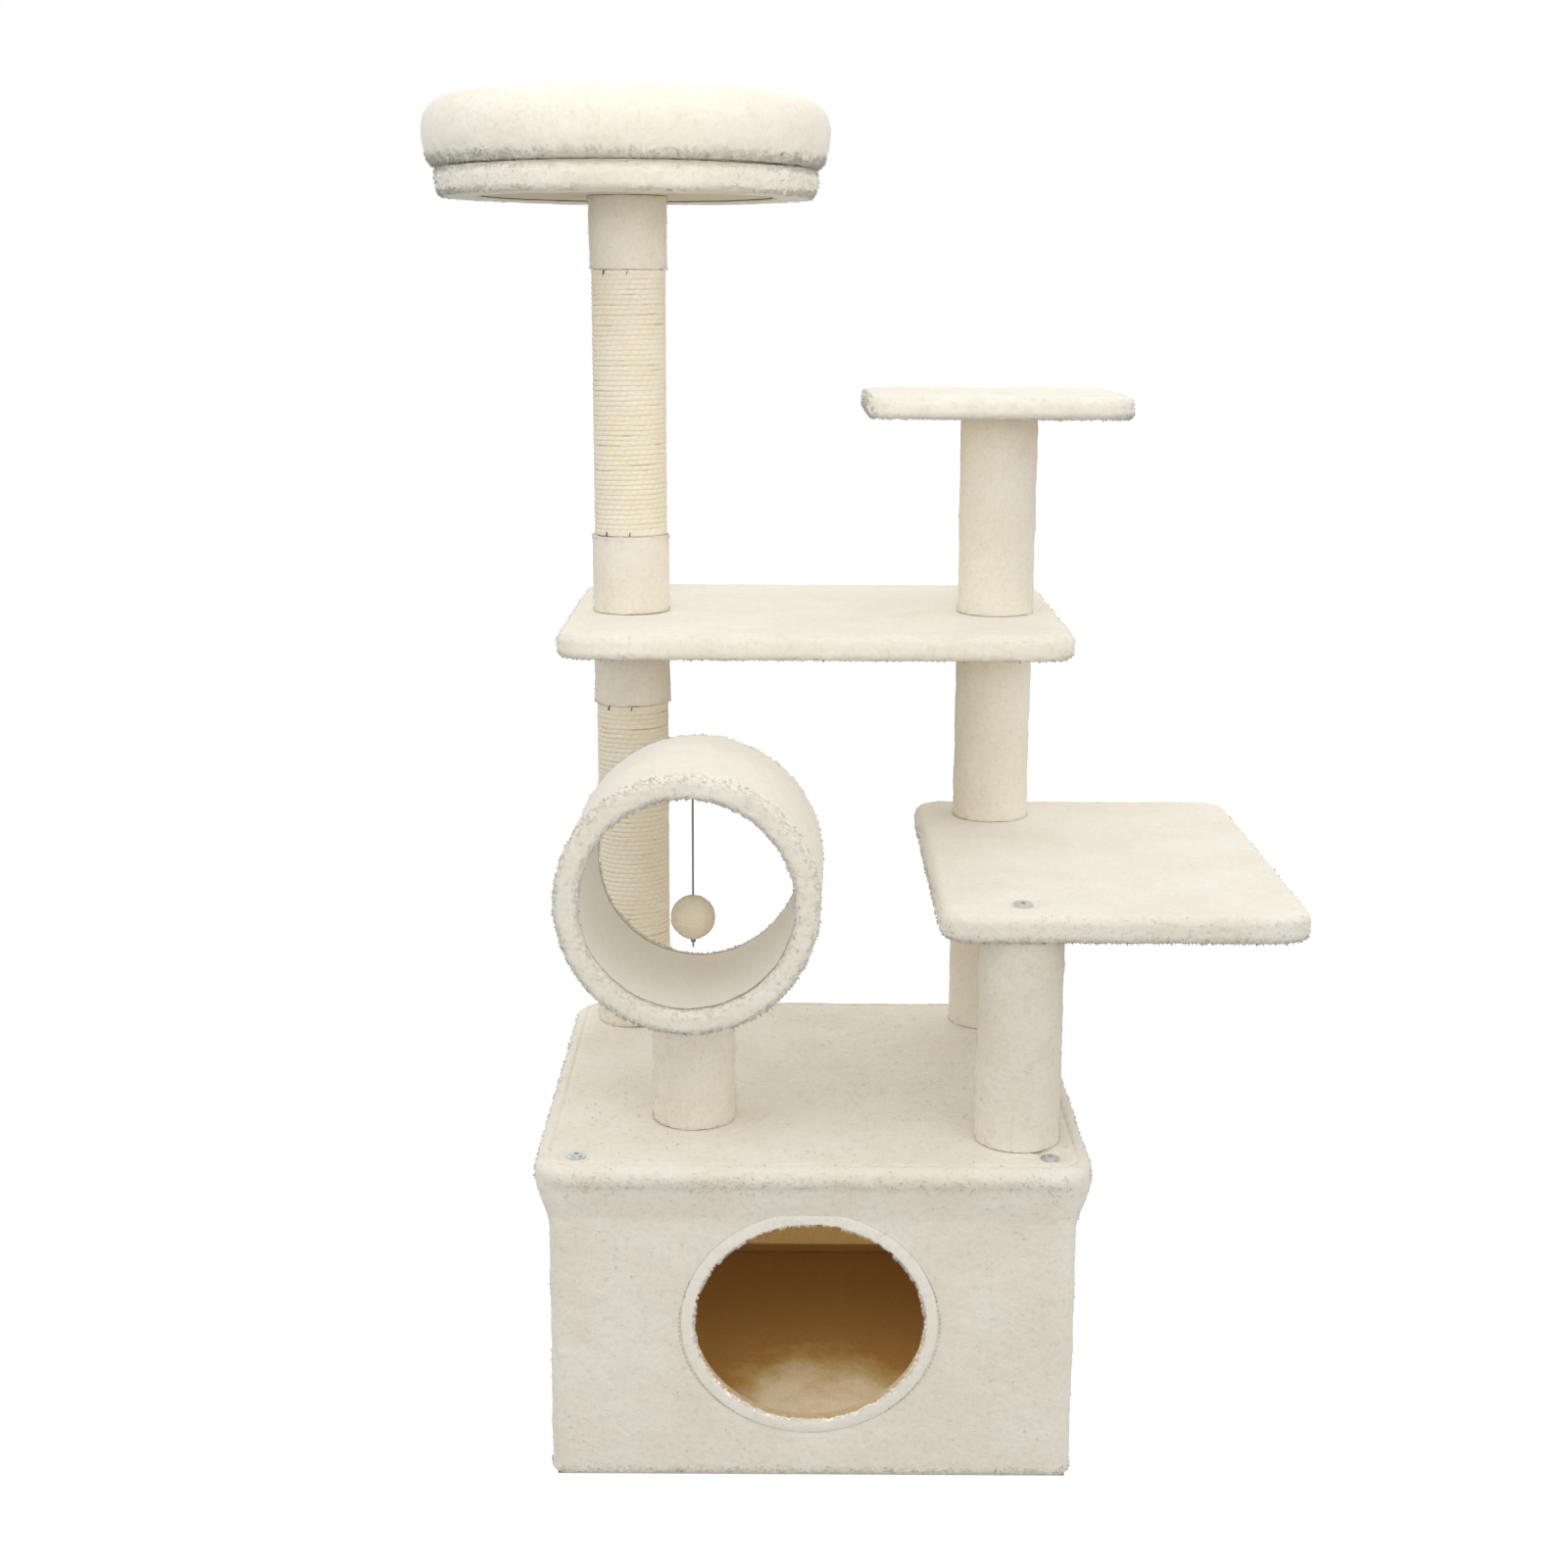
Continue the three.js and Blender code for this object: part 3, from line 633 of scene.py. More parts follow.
def board_cover(node, roll, dents):
    """A plush cover over a board: flat top, rolled edge, and a lip turned in and stapled underneath."""
    low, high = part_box(node)
    top, under = high.z, low.z
    base, normal = outline(low, high, BOARD_CORNER, 3.2 * MM)
    flats = [28, 24, 20, 17, 15, 13.8, 13, 12.3, 11.6, 10.8, 10]
    section = [(d * MM, top) for d in flats if d * MM > roll]
    section += [(roll * s, top - roll * c) for s, c in rolled()]
    section += [(0, z) for z in np.linspace(top - roll, under + roll, 4)[1:-1]]
    section += [(roll * c, under + roll * s) for s, c in rolled()]
    section += [(LIP * 0.7, under), (LIP - 1.2 * MM, under + 0.3 * MM), (LIP, under + 1.2 * MM)]
    section += [(LIP - 1.2 * MM, under + 2.1 * MM), (8 * MM, under + 2.3 * MM)]
    section += [(POCKET_SIDE, under + POCKET_FOOT), (POCKET_SIDE, top - POCKET_TOP)]
    section += [(9 * MM, top - POCKET_MIDDLE)]
    rings = [inset_ring(base, normal, BOARD_CORNER, d, z) for d, z in section]
    reach = min(high.x - low.x, high.y - low.y) / 2
    above = fill(rings[0], max(8, round(reach / (6 * MM))))
    piece = lofted(node + "_plush", [*reversed(above), *rings, *fill(rings[-1], 5)], PLUSH)
    upper = read_points(piece)[:, 2] > top - 1.5 * MM

    def shown(p):
        """1 on the outside of the cover, 0 inside its pocket"""
        flat = (p[:, 2] > top - 1 * MM) | (p[:, 2] < under + 0.7 * MM)
        side = from_sides(p, low, high) < 3.5 * MM
        round_corner = past_core(p, low, high, BOARD_CORNER) > BOARD_CORNER - 3.5 * MM
        return np.where(flat | side | round_corner, 1.0, 0.0)

    pile(piece, shown)
    press_down(piece, upper, top, dents)
    middle = (low + high) / 2

    def hem(p, n):
        outer = (n[:, 0] * (p[:, 0] - middle.x) + n[:, 1] * (p[:, 1] - middle.y)) > 0
        low_edge = 1 - smoothstep(under + 2 * MM, under + 9 * MM, p[:, 2])
        return np.where(outer & (p[:, 2] < top - 1 * MM), 0.15 + low_edge, 0) * (np.abs(n[:, 2]) < 0.95)

    tuft(piece, hem, 3600)
    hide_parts(node)


def press_down(piece, upper, top, dents):
    """Flattens the nap where something stands on a cover, down to depth below its top."""
    points = read_points(piece)
    for middle, flat_r, soft_r, depth in dents:
        press = 1 - smoothstep(flat_r, soft_r, off_axis(points, middle))
        level = top - depth
        points[:, 2] = np.where(upper, points[:, 2] * (1 - press) + level * press, points[:, 2])
    write_points(piece, points)


# ---- round pieces ----
def ring_at(middle, r, z, count, wobble=None):
    a = np.linspace(0, 2 * math.pi, count, endpoint=False)
    radius = np.full(count, r) if wobble is None else r + wobble(a)
    x, y = middle[0] + radius * np.cos(a), middle[1] + radius * np.sin(a)
    return np.column_stack([x, y, np.full(count, z)])


SLEEVE_INNER = 34.3 * MM


def sleeve(node, head=None):
    """A plush tube pulled over a post, with its hems turned in; head gives the top edge's height."""
    low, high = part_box(node)
    middle = middle_of(low, high)
    outer, inner, hem = (high.x - low.x) / 2, SLEEVE_INNER, 0.8 * MM
    z0, z1 = low.z, high.z
    rows = max(6, round((z1 - z0) / (3 * MM)))
    section = [(inner, z0 + hem)]
    section += [(outer - hem * s, z0 + hem * c) for s, c in rolled(4)]
    section += [(outer, z) for z in np.linspace(z0 + hem, z1 - hem, rows)[1:-1]]
    section += [(outer - hem * c, z1 - hem * s) for s, c in rolled(4)]
    section += [(inner, z1 - hem), (inner, (z0 + z1) / 2)]
    rings = [ring_at(middle, r, z, 96) for r, z in section]
    if head is not None:
        for ring in rings:
            ring[:, 2] = z0 + (ring[:, 2] - z0) / (z1 - z0) * (head(ring[:, :2] - middle) - z0)
    # the sleeves take the darker plush, whose colour paints in the shade under the shelves
    piece = lofted(node + "_plush", rings, SHADED_SHORT_PLUSH, closed=True)
    skin = (inner + 0.5 * MM, outer - 1.5 * MM)
    pile(piece, lambda p: smoothstep(*skin, off_axis(p, middle)), fuzz=0.5, swell=1.5)

    def ends(p, n):
        out = (n[:, 0] * (p[:, 0] - middle[0]) + n[:, 1] * (p[:, 1] - middle[1])) > 0
        up = smoothstep(z1 - 7 * MM, z1 - 1 * MM, p[:, 2]) + 1
        return np.where(out, 0.10 + (up - smoothstep(z0 + 0.5 * MM, z0 + 6 * MM, p[:, 2])), 0)

    tuft(piece, ends, 800, 2.2 * MM, 0.5 * MM, droop=0.1)
    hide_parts(node)


ROPE_PITCH = 4.9 * MM
ROPE_R = 2.5 * MM
ROPE_FLAT = 0.5  # the wound rope is pressed flat against the post


def sisal_wrap(node, seed):
    """One rope wound close round a post from hem to hem, its ends tucked under the staples."""
    low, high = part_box(node)
    middle = middle_of(low, high)
    outer = (high.x - low.x) / 2
    turns = (high.z - low.z - 2 * ROPE_R) / ROPE_PITCH + 2
    per_turn, sides = 56, 9
    count = int(turns * per_turn)
    t = np.arange(count + 1) / per_turn
    angle = t * 2 * math.pi + seed
    rng = np.random.default_rng(SEED + seed)
    drift = np.interp(t, np.linspace(0, turns, 40), rng.normal(0, 0.12, 40)) * MM
    climb = low.z + ROPE_R + (t - 1) * ROPE_PITCH + drift * np.sin(t * 3)
    ripple = np.column_stack([np.cos(angle) * outer, np.sin(angle) * outer, climb])
    climb = climb + 0.5 * MM * lattice_noise(ripple, 14 * MM, seed + 9)
    z = np.clip(climb, low.z + ROPE_R, high.z - ROPE_R)
    track = outer - ROPE_R * ROPE_FLAT + 0.12 * MM * np.sin(t * 11.3)
    rings = []
    across = np.linspace(0, 2 * math.pi, sides, endpoint=False)
    for k in range(len(t)):
        out = np.array([math.cos(angle[k]), math.sin(angle[k]), 0])
        centre = np.array([middle[0], middle[1], 0]) + out * track[k] + np.array([0, 0, z[k]])
        ring = centre + np.outer(np.cos(across) * ROPE_R * ROPE_FLAT, out)
        ring[:, 2] += np.sin(across) * ROPE_R * 1.06
        rings.append(ring)
    piece = lofted(node + "_rope", rings, SISAL, "sisal")
    uv = piece.data.uv_layers.new(name="rope")
    length = t * 2 * math.pi * (outer - ROPE_R)
    loops = np.zeros(len(piece.data.loops), int)
    piece.data.loops.foreach_get("vertex_index", loops)
    along = np.append(np.repeat(length, sides), [0, length[-1]])
    round_it = np.append(np.tile(np.arange(sides) / sides, len(t)), [0, 0])
    coords = np.column_stack([along[loops], round_it[loops]])
    uv.data.foreach_set("uv", coords.reshape(-1))
    points, normals = read_points(piece), read_normals(piece)
    rough = lattice_noise(points, 1.6 * MM, seed) * 0.18 + lattice_noise(points, 7 * MM, seed + 5) * 0.22
    strands = 0.04 * np.sin(along * 2 * math.pi / (4.2 * MM) + round_it * 2 * math.pi)
    write_points(piece, points + normals * ((rough + strands) * MM)[:, None])
    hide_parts(node)


# ---- build: boards' covers ----
finish_cad_nodes()


def post_dents(*names):
    """Where a post stands on a cover, the pile is pressed down round its foot."""
    return [(middle_of(*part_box(name)), 40 * MM, 50 * MM, 0.1 * MM) for name in names]


def bolt_dents(wide, *names):
    """A bolt's head pulls the cover down on to the board."""
    return [(middle_of(*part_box(name)), 9.6 * MM, wide, 3.35 * MM) for name in names]


SCREWS = [f"deck_screw_{end}_{side}" for end in ("front", "rear") for side in ("left", "right")]
board_cover("middle_shelf_cover", 9 * MM, post_dents("upper_left_foot_cuff", "upper_right_sleeve"))
lower_dents = post_dents("middle_right_sleeve") + bolt_dents(26 * MM, "lower_shelf_bolt")
board_cover("lower_shelf_cover", 9 * MM, lower_dents)
board_cover("perch_cover", 8 * MM, bolt_dents(26 * MM, "perch_bolt"))

# ---- build: posts ----
for post in ("lower_right_sleeve", "middle_right_sleeve", "upper_right_sleeve", "front_right_sleeve",
             "lower_left_foot_cuff", "lower_left_top_cuff", "upper_left_foot_cuff", "upper_left_top_cuff"):
    sleeve(post)
TUNNEL_R = 118.9 * MM


def saddle(away):
    sideways = away[:, 0] * ACROSS.x + away[:, 1] * ACROSS.y
    return TUNNEL_MID.z - np.sqrt(TUNNEL_R**2 - sideways**2)


sleeve("tunnel_post_sleeve", saddle)
sisal_wrap("lower_left_sisal", 1)
sisal_wrap("upper_left_sisal", 2)


# ---- build: tunnel ----
def tunnel_ring(r, y, count):
    a = np.linspace(0, 2 * math.pi, count, endpoint=False)
    flat = np.outer(np.cos(a) * r, np.array(ACROSS)) + np.outer(np.sin(a) * r, np.array((0, 0, 1)))
    return np.array(TUNNEL_MID) + flat + np.array(ALONG) * y


def tunnel_place(p):
    """How far points lie from the tunnel's line, and from its middle along that line."""
    rel = p - np.array(TUNNEL_MID)
    return np.hypot(rel @ np.array(ACROSS), rel[:, 2]), np.abs(rel @ np.array(ALONG))


def tunnel_piece(name, section, node, material, shown, fuzz):
    piece = lofted(name, [tunnel_ring(r, y, 220) for r, y in section], material, closed=True)
    pile(piece, lambda p: shown(*tunnel_place(p)), fuzz=fuzz, swell=1.3)
    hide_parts(node)
    return piece


def build_tunnel():
    half = 94 * MM
    out_r, core_out, core_in, in_r = 118.4 * MM, 113.3 * MM, 102.7 * MM, 95.9 * MM
    wrap = half - 9 * MM
    core_end = half - 3.9 * MM
    roll = 8 * MM
    rim = [(in_r + 1.2 * MM, wrap), (in_r + 0.6 * MM, wrap + 1 * MM)]
    rim += [(in_r + roll * (1 - math.cos(a)), half - roll + roll * math.sin(a)) for a in quarter(7)]
    rim += [(r * MM, half) for r in (105.5, 107.1, 108.8)]
    rim += [(out_r - roll * s, half - roll * c) for s, c in rolled(7)]
    near_rim = [(r, -y) for r, y in rim]
    section = [(core_in, -wrap), *near_rim]
    section += [(out_r, y) for y in np.linspace(-half + roll, half - roll, 52)[1:-1]]
    section += [*reversed(rim), (core_in, wrap), (core_in, core_end), (core_out, core_end), (core_out, 0)]
    section += [(core_out, -core_end), (core_in, -core_end)]

    def outside(r, y):
        hidden = (r > core_in - 0.5 * MM) & (r < core_out + 0.5 * MM) & (y < core_end + 0.5 * MM)
        return np.where(hidden | (y < wrap + 0.5 * MM) & (r < core_in), 0.0, 1.0)

    cover = tunnel_piece("tunnel_cover_plush", section, "tunnel_cover", PLUSH, outside, 0.6)

    def rims(p, n):
        r, y = tunnel_place(p)
        edge = smoothstep(half - 11 * MM, half - 5 * MM, y) * ((r < 101 * MM) | (r > 113 * MM))
        return np.where(outside(r, y) > 0, 0.12 * (y > half - 14 * MM) + edge, 0)

    tuft(cover, rims, 6000)

    end = wrap - 0.5 * MM
    edge = 2.5 * MM
    inside_line = [(in_r + edge * (1 - math.cos(a)), end - edge + edge * math.sin(a)) for a in quarter(4)]
    section = [(core_in - 0.4 * MM, -end), *[(r, -y) for r, y in reversed(inside_line)]]
    section += [(in_r, y) for y in np.linspace(-end + edge, end - edge, 46)[1:-1]]
    section += [*inside_line, (core_in - 0.4 * MM, end), (core_in - 0.4 * MM, 0)]

    def inside(r, y):
        return np.where(r < core_in - 1.2 * MM, 1.0, 0.0)

    tunnel_piece("tunnel_lining_plush", section, "tunnel_lining", LINING, inside, 0.5)


build_tunnel()


# ---- build: bed ----
def build_bed_cover():
    low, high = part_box("bed_cover")
    middle = middle_of(low, high)
    outer = (high.x - low.x) / 2
    top, under = high.z, low.z
    edge, roll, lip = 2 * MM, 8 * MM, 40 * MM
    section = [(outer - d * MM, top) for d in (30, 24, 18, 13, 10, 7)]
    section += [(outer - edge * s, top - edge * c) for s, c in rolled(4)]
    section += [(outer, z) for z in np.linspace(top - edge, under + roll, 9)[1:-1]]
    section += [(outer - roll * c, under + roll * s) for s, c in rolled()]
    section += [(outer - d * MM, under) for d in (12, 17, 22, 27, 33)]
    section += [(outer - lip, under + 1.2 * MM), (outer - lip + 1 * MM, under + 2.2 * MM)]
    section += [(outer - POCKET_SIDE, under + POCKET_FOOT), (outer - POCKET_SIDE, top - POCKET_TOP)]
    section += [(outer - 9 * MM, top - POCKET_MIDDLE)]
    rings = []
    for r, z in section:
        side = r > outer - 4.5 * MM and under + 2 * MM < z < top + 1 * MM
        part = min(max((z - under) / (top - under), 0), 1)
        puff = 3.2 * MM * math.sin(math.pi * part**1.6) if side else 0
        inner_edge = abs(r - (outer - lip)) < 3 * MM and z < under + 3 * MM

        def wobble(a, puff=puff, inner_edge=inner_edge):
            wave = 0.5 * np.sin(a * 17 + 2 * np.sin(a * 5)) + 0.5 * np.sin(a * 31 + np.sin(a * 11))
            return puff * (1 + 0.3 * wave) + (2.2 * MM * wave if inner_edge else 0)

        rings.append(ring_at(middle, r, z, 300, wobble))
    piece = lofted("bed_cover_plush", [*reversed(fill(rings[0], 20)), *rings, *fill(rings[-1], 5)], PLUSH)

    def outside(p):
        away = off_axis(p, middle)
        shown = (p[:, 2] > top - 1 * MM) | (p[:, 2] < under + 0.8 * MM) | (away > outer - 3.5 * MM)
        under_bolster = (p[:, 2] > top - 1 * MM) & (away > outer - 75 * MM)
        return np.where(shown & ~under_bolster, 1.0, 0.0)

    pile(piece, outside, swell=0.9)

    def rim(p, n):
        low_edge = 1 - smoothstep(under + 2 * MM, under + 9 * MM, p[:, 2])
        seam_edge = smoothstep(top - 7 * MM, top - 2 * MM, p[:, 2])
        at_edge = (off_axis(p, middle) > outer - 4 * MM) & (p[:, 2] < top - 0.5 * MM)
        return np.where(at_edge, 0.12 + low_edge + 1.1 * seam_edge, 0)

    tuft(piece, rim, 7000, droop=0.1)
    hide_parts("bed_cover")
    return middle


def build_bolster(middle):
    low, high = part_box("bed_bolster")
    wide, tall = 75 * MM, high.z - low.z
    radius = (high.x - low.x) / 2
    centre_r, centre_z = radius - wide / 2, (low.z + high.z) / 2
    flat, flat_part = 23 * MM, 0.35
    flat_end, side_r = centre_r + flat, centre_r + wide / 2
    around, across = 420, 72
    a = np.linspace(0, 2 * math.pi, around, endpoint=False)
    rings = []
    for k in range(across):
        s = 2 * math.pi * k / across
        c, h = math.cos(s), math.sin(s)
        r = centre_r + wide / 2 * math.copysign(abs(c) ** 0.86, c)
        z = centre_z + tall / 2 * math.copysign(abs(h) ** 0.92, h)
        if h < 0 < c:  # the outer lower quarter sits flat on the disc, then swells out past its edge
            part = (s - 1.5 * math.pi) / (math.pi / 2)
            turn = max(0.0, part - flat_part) / (1 - flat_part) * math.pi / 2
            r = centre_r + flat * min(1.0, part / flat_part) + (side_r - flat_end) * math.sin(turn)
            z = centre_z - tall / 2 * math.cos(turn)
        seam = math.exp(-(((s - math.radians(232)) / 0.4) ** 2))
        seam += math.exp(-(((s - math.radians(322)) / 0.3) ** 2))
        pucker = np.sin(a * 37 + 1.7 * np.sin(a * 7)) + 0.6 * np.sin(a * 58 + 2.1 * np.sin(a * 5))
        dip = seam * (0.9 + 0.8 * pucker) * MM
        ring = ring_at(middle, r, z, around)
        ring[:, 0] -= np.cos(a) * (c * dip)
        ring[:, 1] -= np.sin(a) * (c * dip)
        ring[:, 2] -= h * dip
        rings.append(ring)
    bolster = lofted("bed_bolster_plush", rings, PLUSH, closed=True)
    rest = low.z + 0.2 * MM
    pile(bolster, lambda p: smoothstep(rest, rest + 5 * MM, p[:, 2]), fuzz=0.6, swell=1.7)

    def seam_side(p, n):
        near = 1 - smoothstep(rest + 2 * MM, rest + 13 * MM, p[:, 2])
        return np.where((off_axis(p, middle) > radius - 13 * MM) & (p[:, 2] > rest - 0.1 * MM), near, 0.0)

    tuft(bolster, seam_side, 6000, 4.0 * MM, droop=0.45)
    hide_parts("bed_bolster")


build_bolster(build_bed_cover())


# ---- build: condo ----
DOOR = (-2.5 * MM, 152 * MM, 102.5 * MM, 93.5 * MM)  # middle x and z, half width and half height
SEAM = (DOOR[0], DOOR[1] - 1.8 * MM, DOOR[2] + 15.2 * MM, DOOR[3] + 11 * MM)  # the stitched line round it
FRONT_TOP = 262 * MM  # the front wall is plain below this, and narrows into the rim above it
ROW = 3.9 * MM


def ellipse_offset(x, z, ellipse=DOOR):
    """Roughly how far a point of the front wall lies outside the door's edge, or another ellipse."""
    middle_x, middle_z, half_wide, half_tall = ellipse
    u, v = (x - middle_x) / half_wide, (z - middle_z) / half_tall
    return (np.hypot(u, v) - 1) * (half_wide + half_tall) / 2


def build_condo_cover():
    """Deck top and walls are one sewn cover: a soft lid that narrows under its rim and runs down to a hem."""
    deck_low, deck_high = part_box("deck_cover")
    low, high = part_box("wall_cover")
    step, deck_r, wall_r = 4.5 * MM, 35 * MM, 15 * MM
    deck = outline(deck_low, deck_high, deck_r, step)
    shape = (deck_high.x - deck_low.x, deck_high.y - deck_low.y, deck_r)
    wall = outline(low, high, wall_r, step, shape)
    top, foot, hem, roll = deck_high.z, low.z, 4.6 * MM, 11 * MM

    def ring(d, z, narrow):
        """inset d at height z, narrow 0 on the deck's outline and 1 on the walls'"""
        a = inset_ring(*deck, deck_r, d, z)
        front = narrow if narrow in (0, 1) else float(np.clip((296 * MM - z) / (44 * MM), 0, 1))
        return a + (inset_ring(*wall, wall_r, d, z) - a) * (narrow, front, narrow)

    section = [(d * MM, top, 0) for d in (30, 26, 22, 19, 17, 15.4, 14.2, 13.2, 12.2, 11.4)]
    section += [(roll * s, top - roll * c, 0) for s, c in rolled(7)]
    rows = np.arange(top - roll - ROW, foot + hem, -ROW)
    section += [(0, z, 1 - float(smoothstep(240 * MM, 286 * MM, z))) for z in rows]
    section += [(hem * c, foot + hem * s, 1) for s, c in rolled(4)[:-1]]
    section += [(4.7 * MM, foot + 0.4 * MM, 1)]
    under_board = top - 21.5 * MM
    section += [(4.7 * MM, z, 1) for z in np.linspace(foot + 5 * MM, under_board, 44)]
    section += [(POCKET_SIDE, under_board, 0), (POCKET_SIDE, top - POCKET_TOP, 0)]
    section += [(9 * MM, top - POCKET_MIDDLE, 0)]
    rings = [ring(*row) for row in section]
    whole = loft([*reversed(fill(rings[0], 34)), *rings, *fill(rings[-1], 5)])
    piece = new_piece("condo_cover_plush", *whole, PLUSH)

    hole = 5 * MM
    work = bmesh.new()
    work.from_mesh(piece.data)
    front = low.y + 6 * MM
    gone = []
    for f in work.faces:
        middle = f.calc_center_median()
        if middle.y < front and middle.z < FRONT_TOP and ellipse_offset(middle.x, middle.z) < hole:
            gone.append(f)
    bmesh.ops.delete(work, geom=gone, context="FACES")
    edges = [e for e in work.edges if e.is_boundary]
    grow = 1 + 2 * hole / (DOOR[2] + DOOR[3])
    for v in {v for e in edges for v in e.verts}:
        u, w = (v.co.x - DOOR[0]) / DOOR[2], (v.co.z - DOOR[1]) / DOOR[3]
        size = math.hypot(u, w)
        v.co.x = DOOR[0] + u / size * grow * DOOR[2]
        v.co.z = DOOR[1] + w / size * grow * DOOR[3]
    bmesh.ops.bridge_loops(work, edges=edges)
    bmesh.ops.recalc_face_normals(work, faces=work.faces)
    work.to_mesh(piece.data)
    work.free()
    piece.data.shade_smooth()

    points = read_points(piece)
    face = np.abs(points[:, 1] - low.y) < 0.5 * MM
    off_seam = ellipse_offset(points[:, 0], points[:, 2], SEAM)
    points[:, 1] += np.where(face, 1.1 * MM * np.exp(-((off_seam / (1.7 * MM)) ** 2)), 0)
    upper = points[:, 2] > top - 1.5 * MM
    inside = deck_r - past_core(points, deck_low, deck_high, deck_r)
    points[:, 2] -= np.where(upper, np.exp(-(((inside - 13 * MM) / (1.6 * MM)) ** 2)) * 1.3 * MM, 0)
    write_points(piece, points)

    def outside(p):
        rim = p[:, 2] >= under_board - 2 * MM
        wall_side = (from_sides(p, low, high) < 3.4 * MM) & ~rim
        rim_side = (from_sides(p, deck_low, deck_high) < 3.4 * MM) & rim
        shown = np.where(wall_side | rim_side | (p[:, 2] > top - 1.5 * MM), 1.0, 0.0)
        front_face = (p[:, 1] < low.y + 5 * MM) & (p[:, 2] < FRONT_TOP)
        clear = smoothstep(13 * MM, 20 * MM, ellipse_offset(p[:, 0], p[:, 2]))
        return shown * np.where(front_face, clear, 1.0) * smoothstep(foot, foot + 4 * MM, p[:, 2])

    pile(piece, outside, fuzz=0.6, swell=1.1)
    dents = post_dents("lower_left_foot_cuff", "lower_right_sleeve", "front_right_sleeve")
    dents += post_dents("tunnel_post_sleeve") + bolt_dents(17 * MM, *SCREWS)
    press_down(piece, read_points(piece)[:, 2] > top - 2.6 * MM, top, dents)

    def hems(p, n):
        outer = outside(p) > 0.5
        low_edge = (1 - smoothstep(foot + 4 * MM, foot + 12 * MM, p[:, 2])) * (p[:, 2] > foot + 3.5 * MM)
        rim_edge = np.exp(-(((p[:, 2] - (top - 13 * MM)) / (9 * MM)) ** 2)) * (np.abs(n[:, 2]) < 0.9)
        return np.where(outer, 3 * low_edge + 0.6 * rim_edge + 0.04, 0)

    tuft(piece, hems, 9000)
    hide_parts("wall_cover", "deck_cover")


def build_door_trim():
    face = -231 * MM
    count = 860
    a = np.linspace(0, 2 * math.pi, count, endpoint=False)
    # out from the door's edge and back along Y, in mm: the jamb, the bulging face, and the flat back
    section = [(3.2, -217.6), (2.4, -217.6), (2.2, -221), (2.0, -225), (1.8, -229), (1.9, -231)]
    section += [(2.2, -231.9), (3.0, -232.3), (4.6, -232.4), (7, -232.3), (9.6, -232.0), (11.6, -231.7)]
    section += [(13.0, -231.4), (13.4, -231.2), (12.6, -231.12), (8, -231.1), (3.2, -231.1), (3.2, -226)]
    ragged = np.column_stack([np.cos(a) * DOOR[2], np.sin(a) * DOOR[3], np.zeros(count)])
    rings = []
    for offset, y in section:
        o = offset * MM
        edge = 1 if y < -228 and offset < 3 else 0
        bite = (0.7 * lattice_noise(ragged, 5 * MM, 3) + 1.1 * lattice_noise(ragged, 2.0 * MM, 4)) * edge * MM
        x = DOOR[0] + np.cos(a) * (DOOR[2] + o - bite)
        z = DOOR[1] + np.sin(a) * (DOOR[3] + o - bite)
        rings.append(np.column_stack([x, np.full(count, y * MM), z]))
    piece = lofted("door_trim_plush", rings, FACING, closed=True)
    pile(piece, lambda p: np.where(p[:, 1] < face - 0.8 * MM, 1.0, 0.0), fuzz=0.45, swell=0.4)

    def lip(p, n):
        return np.where((p[:, 1] < face + 1 * MM) & (ellipse_offset(p[:, 0], p[:, 2]) < 2.5 * MM), 1.0, 0.02)

    tuft(piece, lip, 3600, 2.6 * MM, 0.6 * MM, droop=0.0)
    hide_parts("door_trim")
    build_door_stitches(face + 0.5 * MM)


def build_door_stitches(face, count=150, length=3 * MM, radius=0.36 * MM):
    """Short rounded stitches along the seam round the door, arched away from the cloth."""
    verts, faces = [], []
    sides, steps = 6, 6
    out = Vector((0, -1, 0))
    for stitch in range(count):
        turn = 2 * math.pi * (stitch + 0.5) / count
        here = Vector((SEAM[0] + math.cos(turn) * SEAM[2], face, SEAM[1] + math.sin(turn) * SEAM[3]))
        way = Vector((-math.sin(turn) * DOOR[2], 0, math.cos(turn) * DOOR[3])).normalized()
        side = way.cross(out)
        start = len(verts)
        for i in range(steps + 1):
            t = i / steps
            swell = math.sin(math.pi * min(max(t, 0.04), 0.96)) ** 0.5
            centre = here + way * (t - 0.5) * length + out * math.sin(math.pi * t) * radius * 0.9
            for j in range(sides):
                b = 2 * math.pi * j / sides
                verts.append(centre + (side * math.cos(b) + out * math.sin(b)) * radius * swell)
        for i in range(steps):
            for j in range(sides):
                p, q = start + i * sides + j, start + i * sides + (j + 1) % sides
                faces.append((p, q, q + sides, p + sides))
        faces.append(tuple(start + j for j in reversed(range(sides))))
        faces.append(tuple(start + steps * sides + j for j in range(sides)))
    outward(new_piece("door_seam_stitches", verts, faces, THREAD))


def build_floor_mat():
    low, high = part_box("floor_mat")
    corner = 20 * MM
    base, normal = outline(low, high, corner, 6 * MM)
    section = [(8 * MM, high.z), (3 * MM, high.z - 0.3 * MM), (0.6 * MM, high.z - 1.6 * MM),
               (0.6 * MM, low.z + 1 * MM), (3 * MM, low.z + 0.3 * MM)]
    rings = [inset_ring(base, normal, corner, d, z) for d, z in section]
    piece = lofted("floor_mat_plush", [*reversed(fill(rings[0], 34)), *rings], CABIN_MAT)
    pile(piece, lambda p: np.where(p[:, 2] > high.z - 1 * MM, 1.0, 0.0), fuzz=0.4, swell=0.6)
    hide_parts("floor_mat")


build_condo_cover()
build_door_trim()
build_floor_mat()


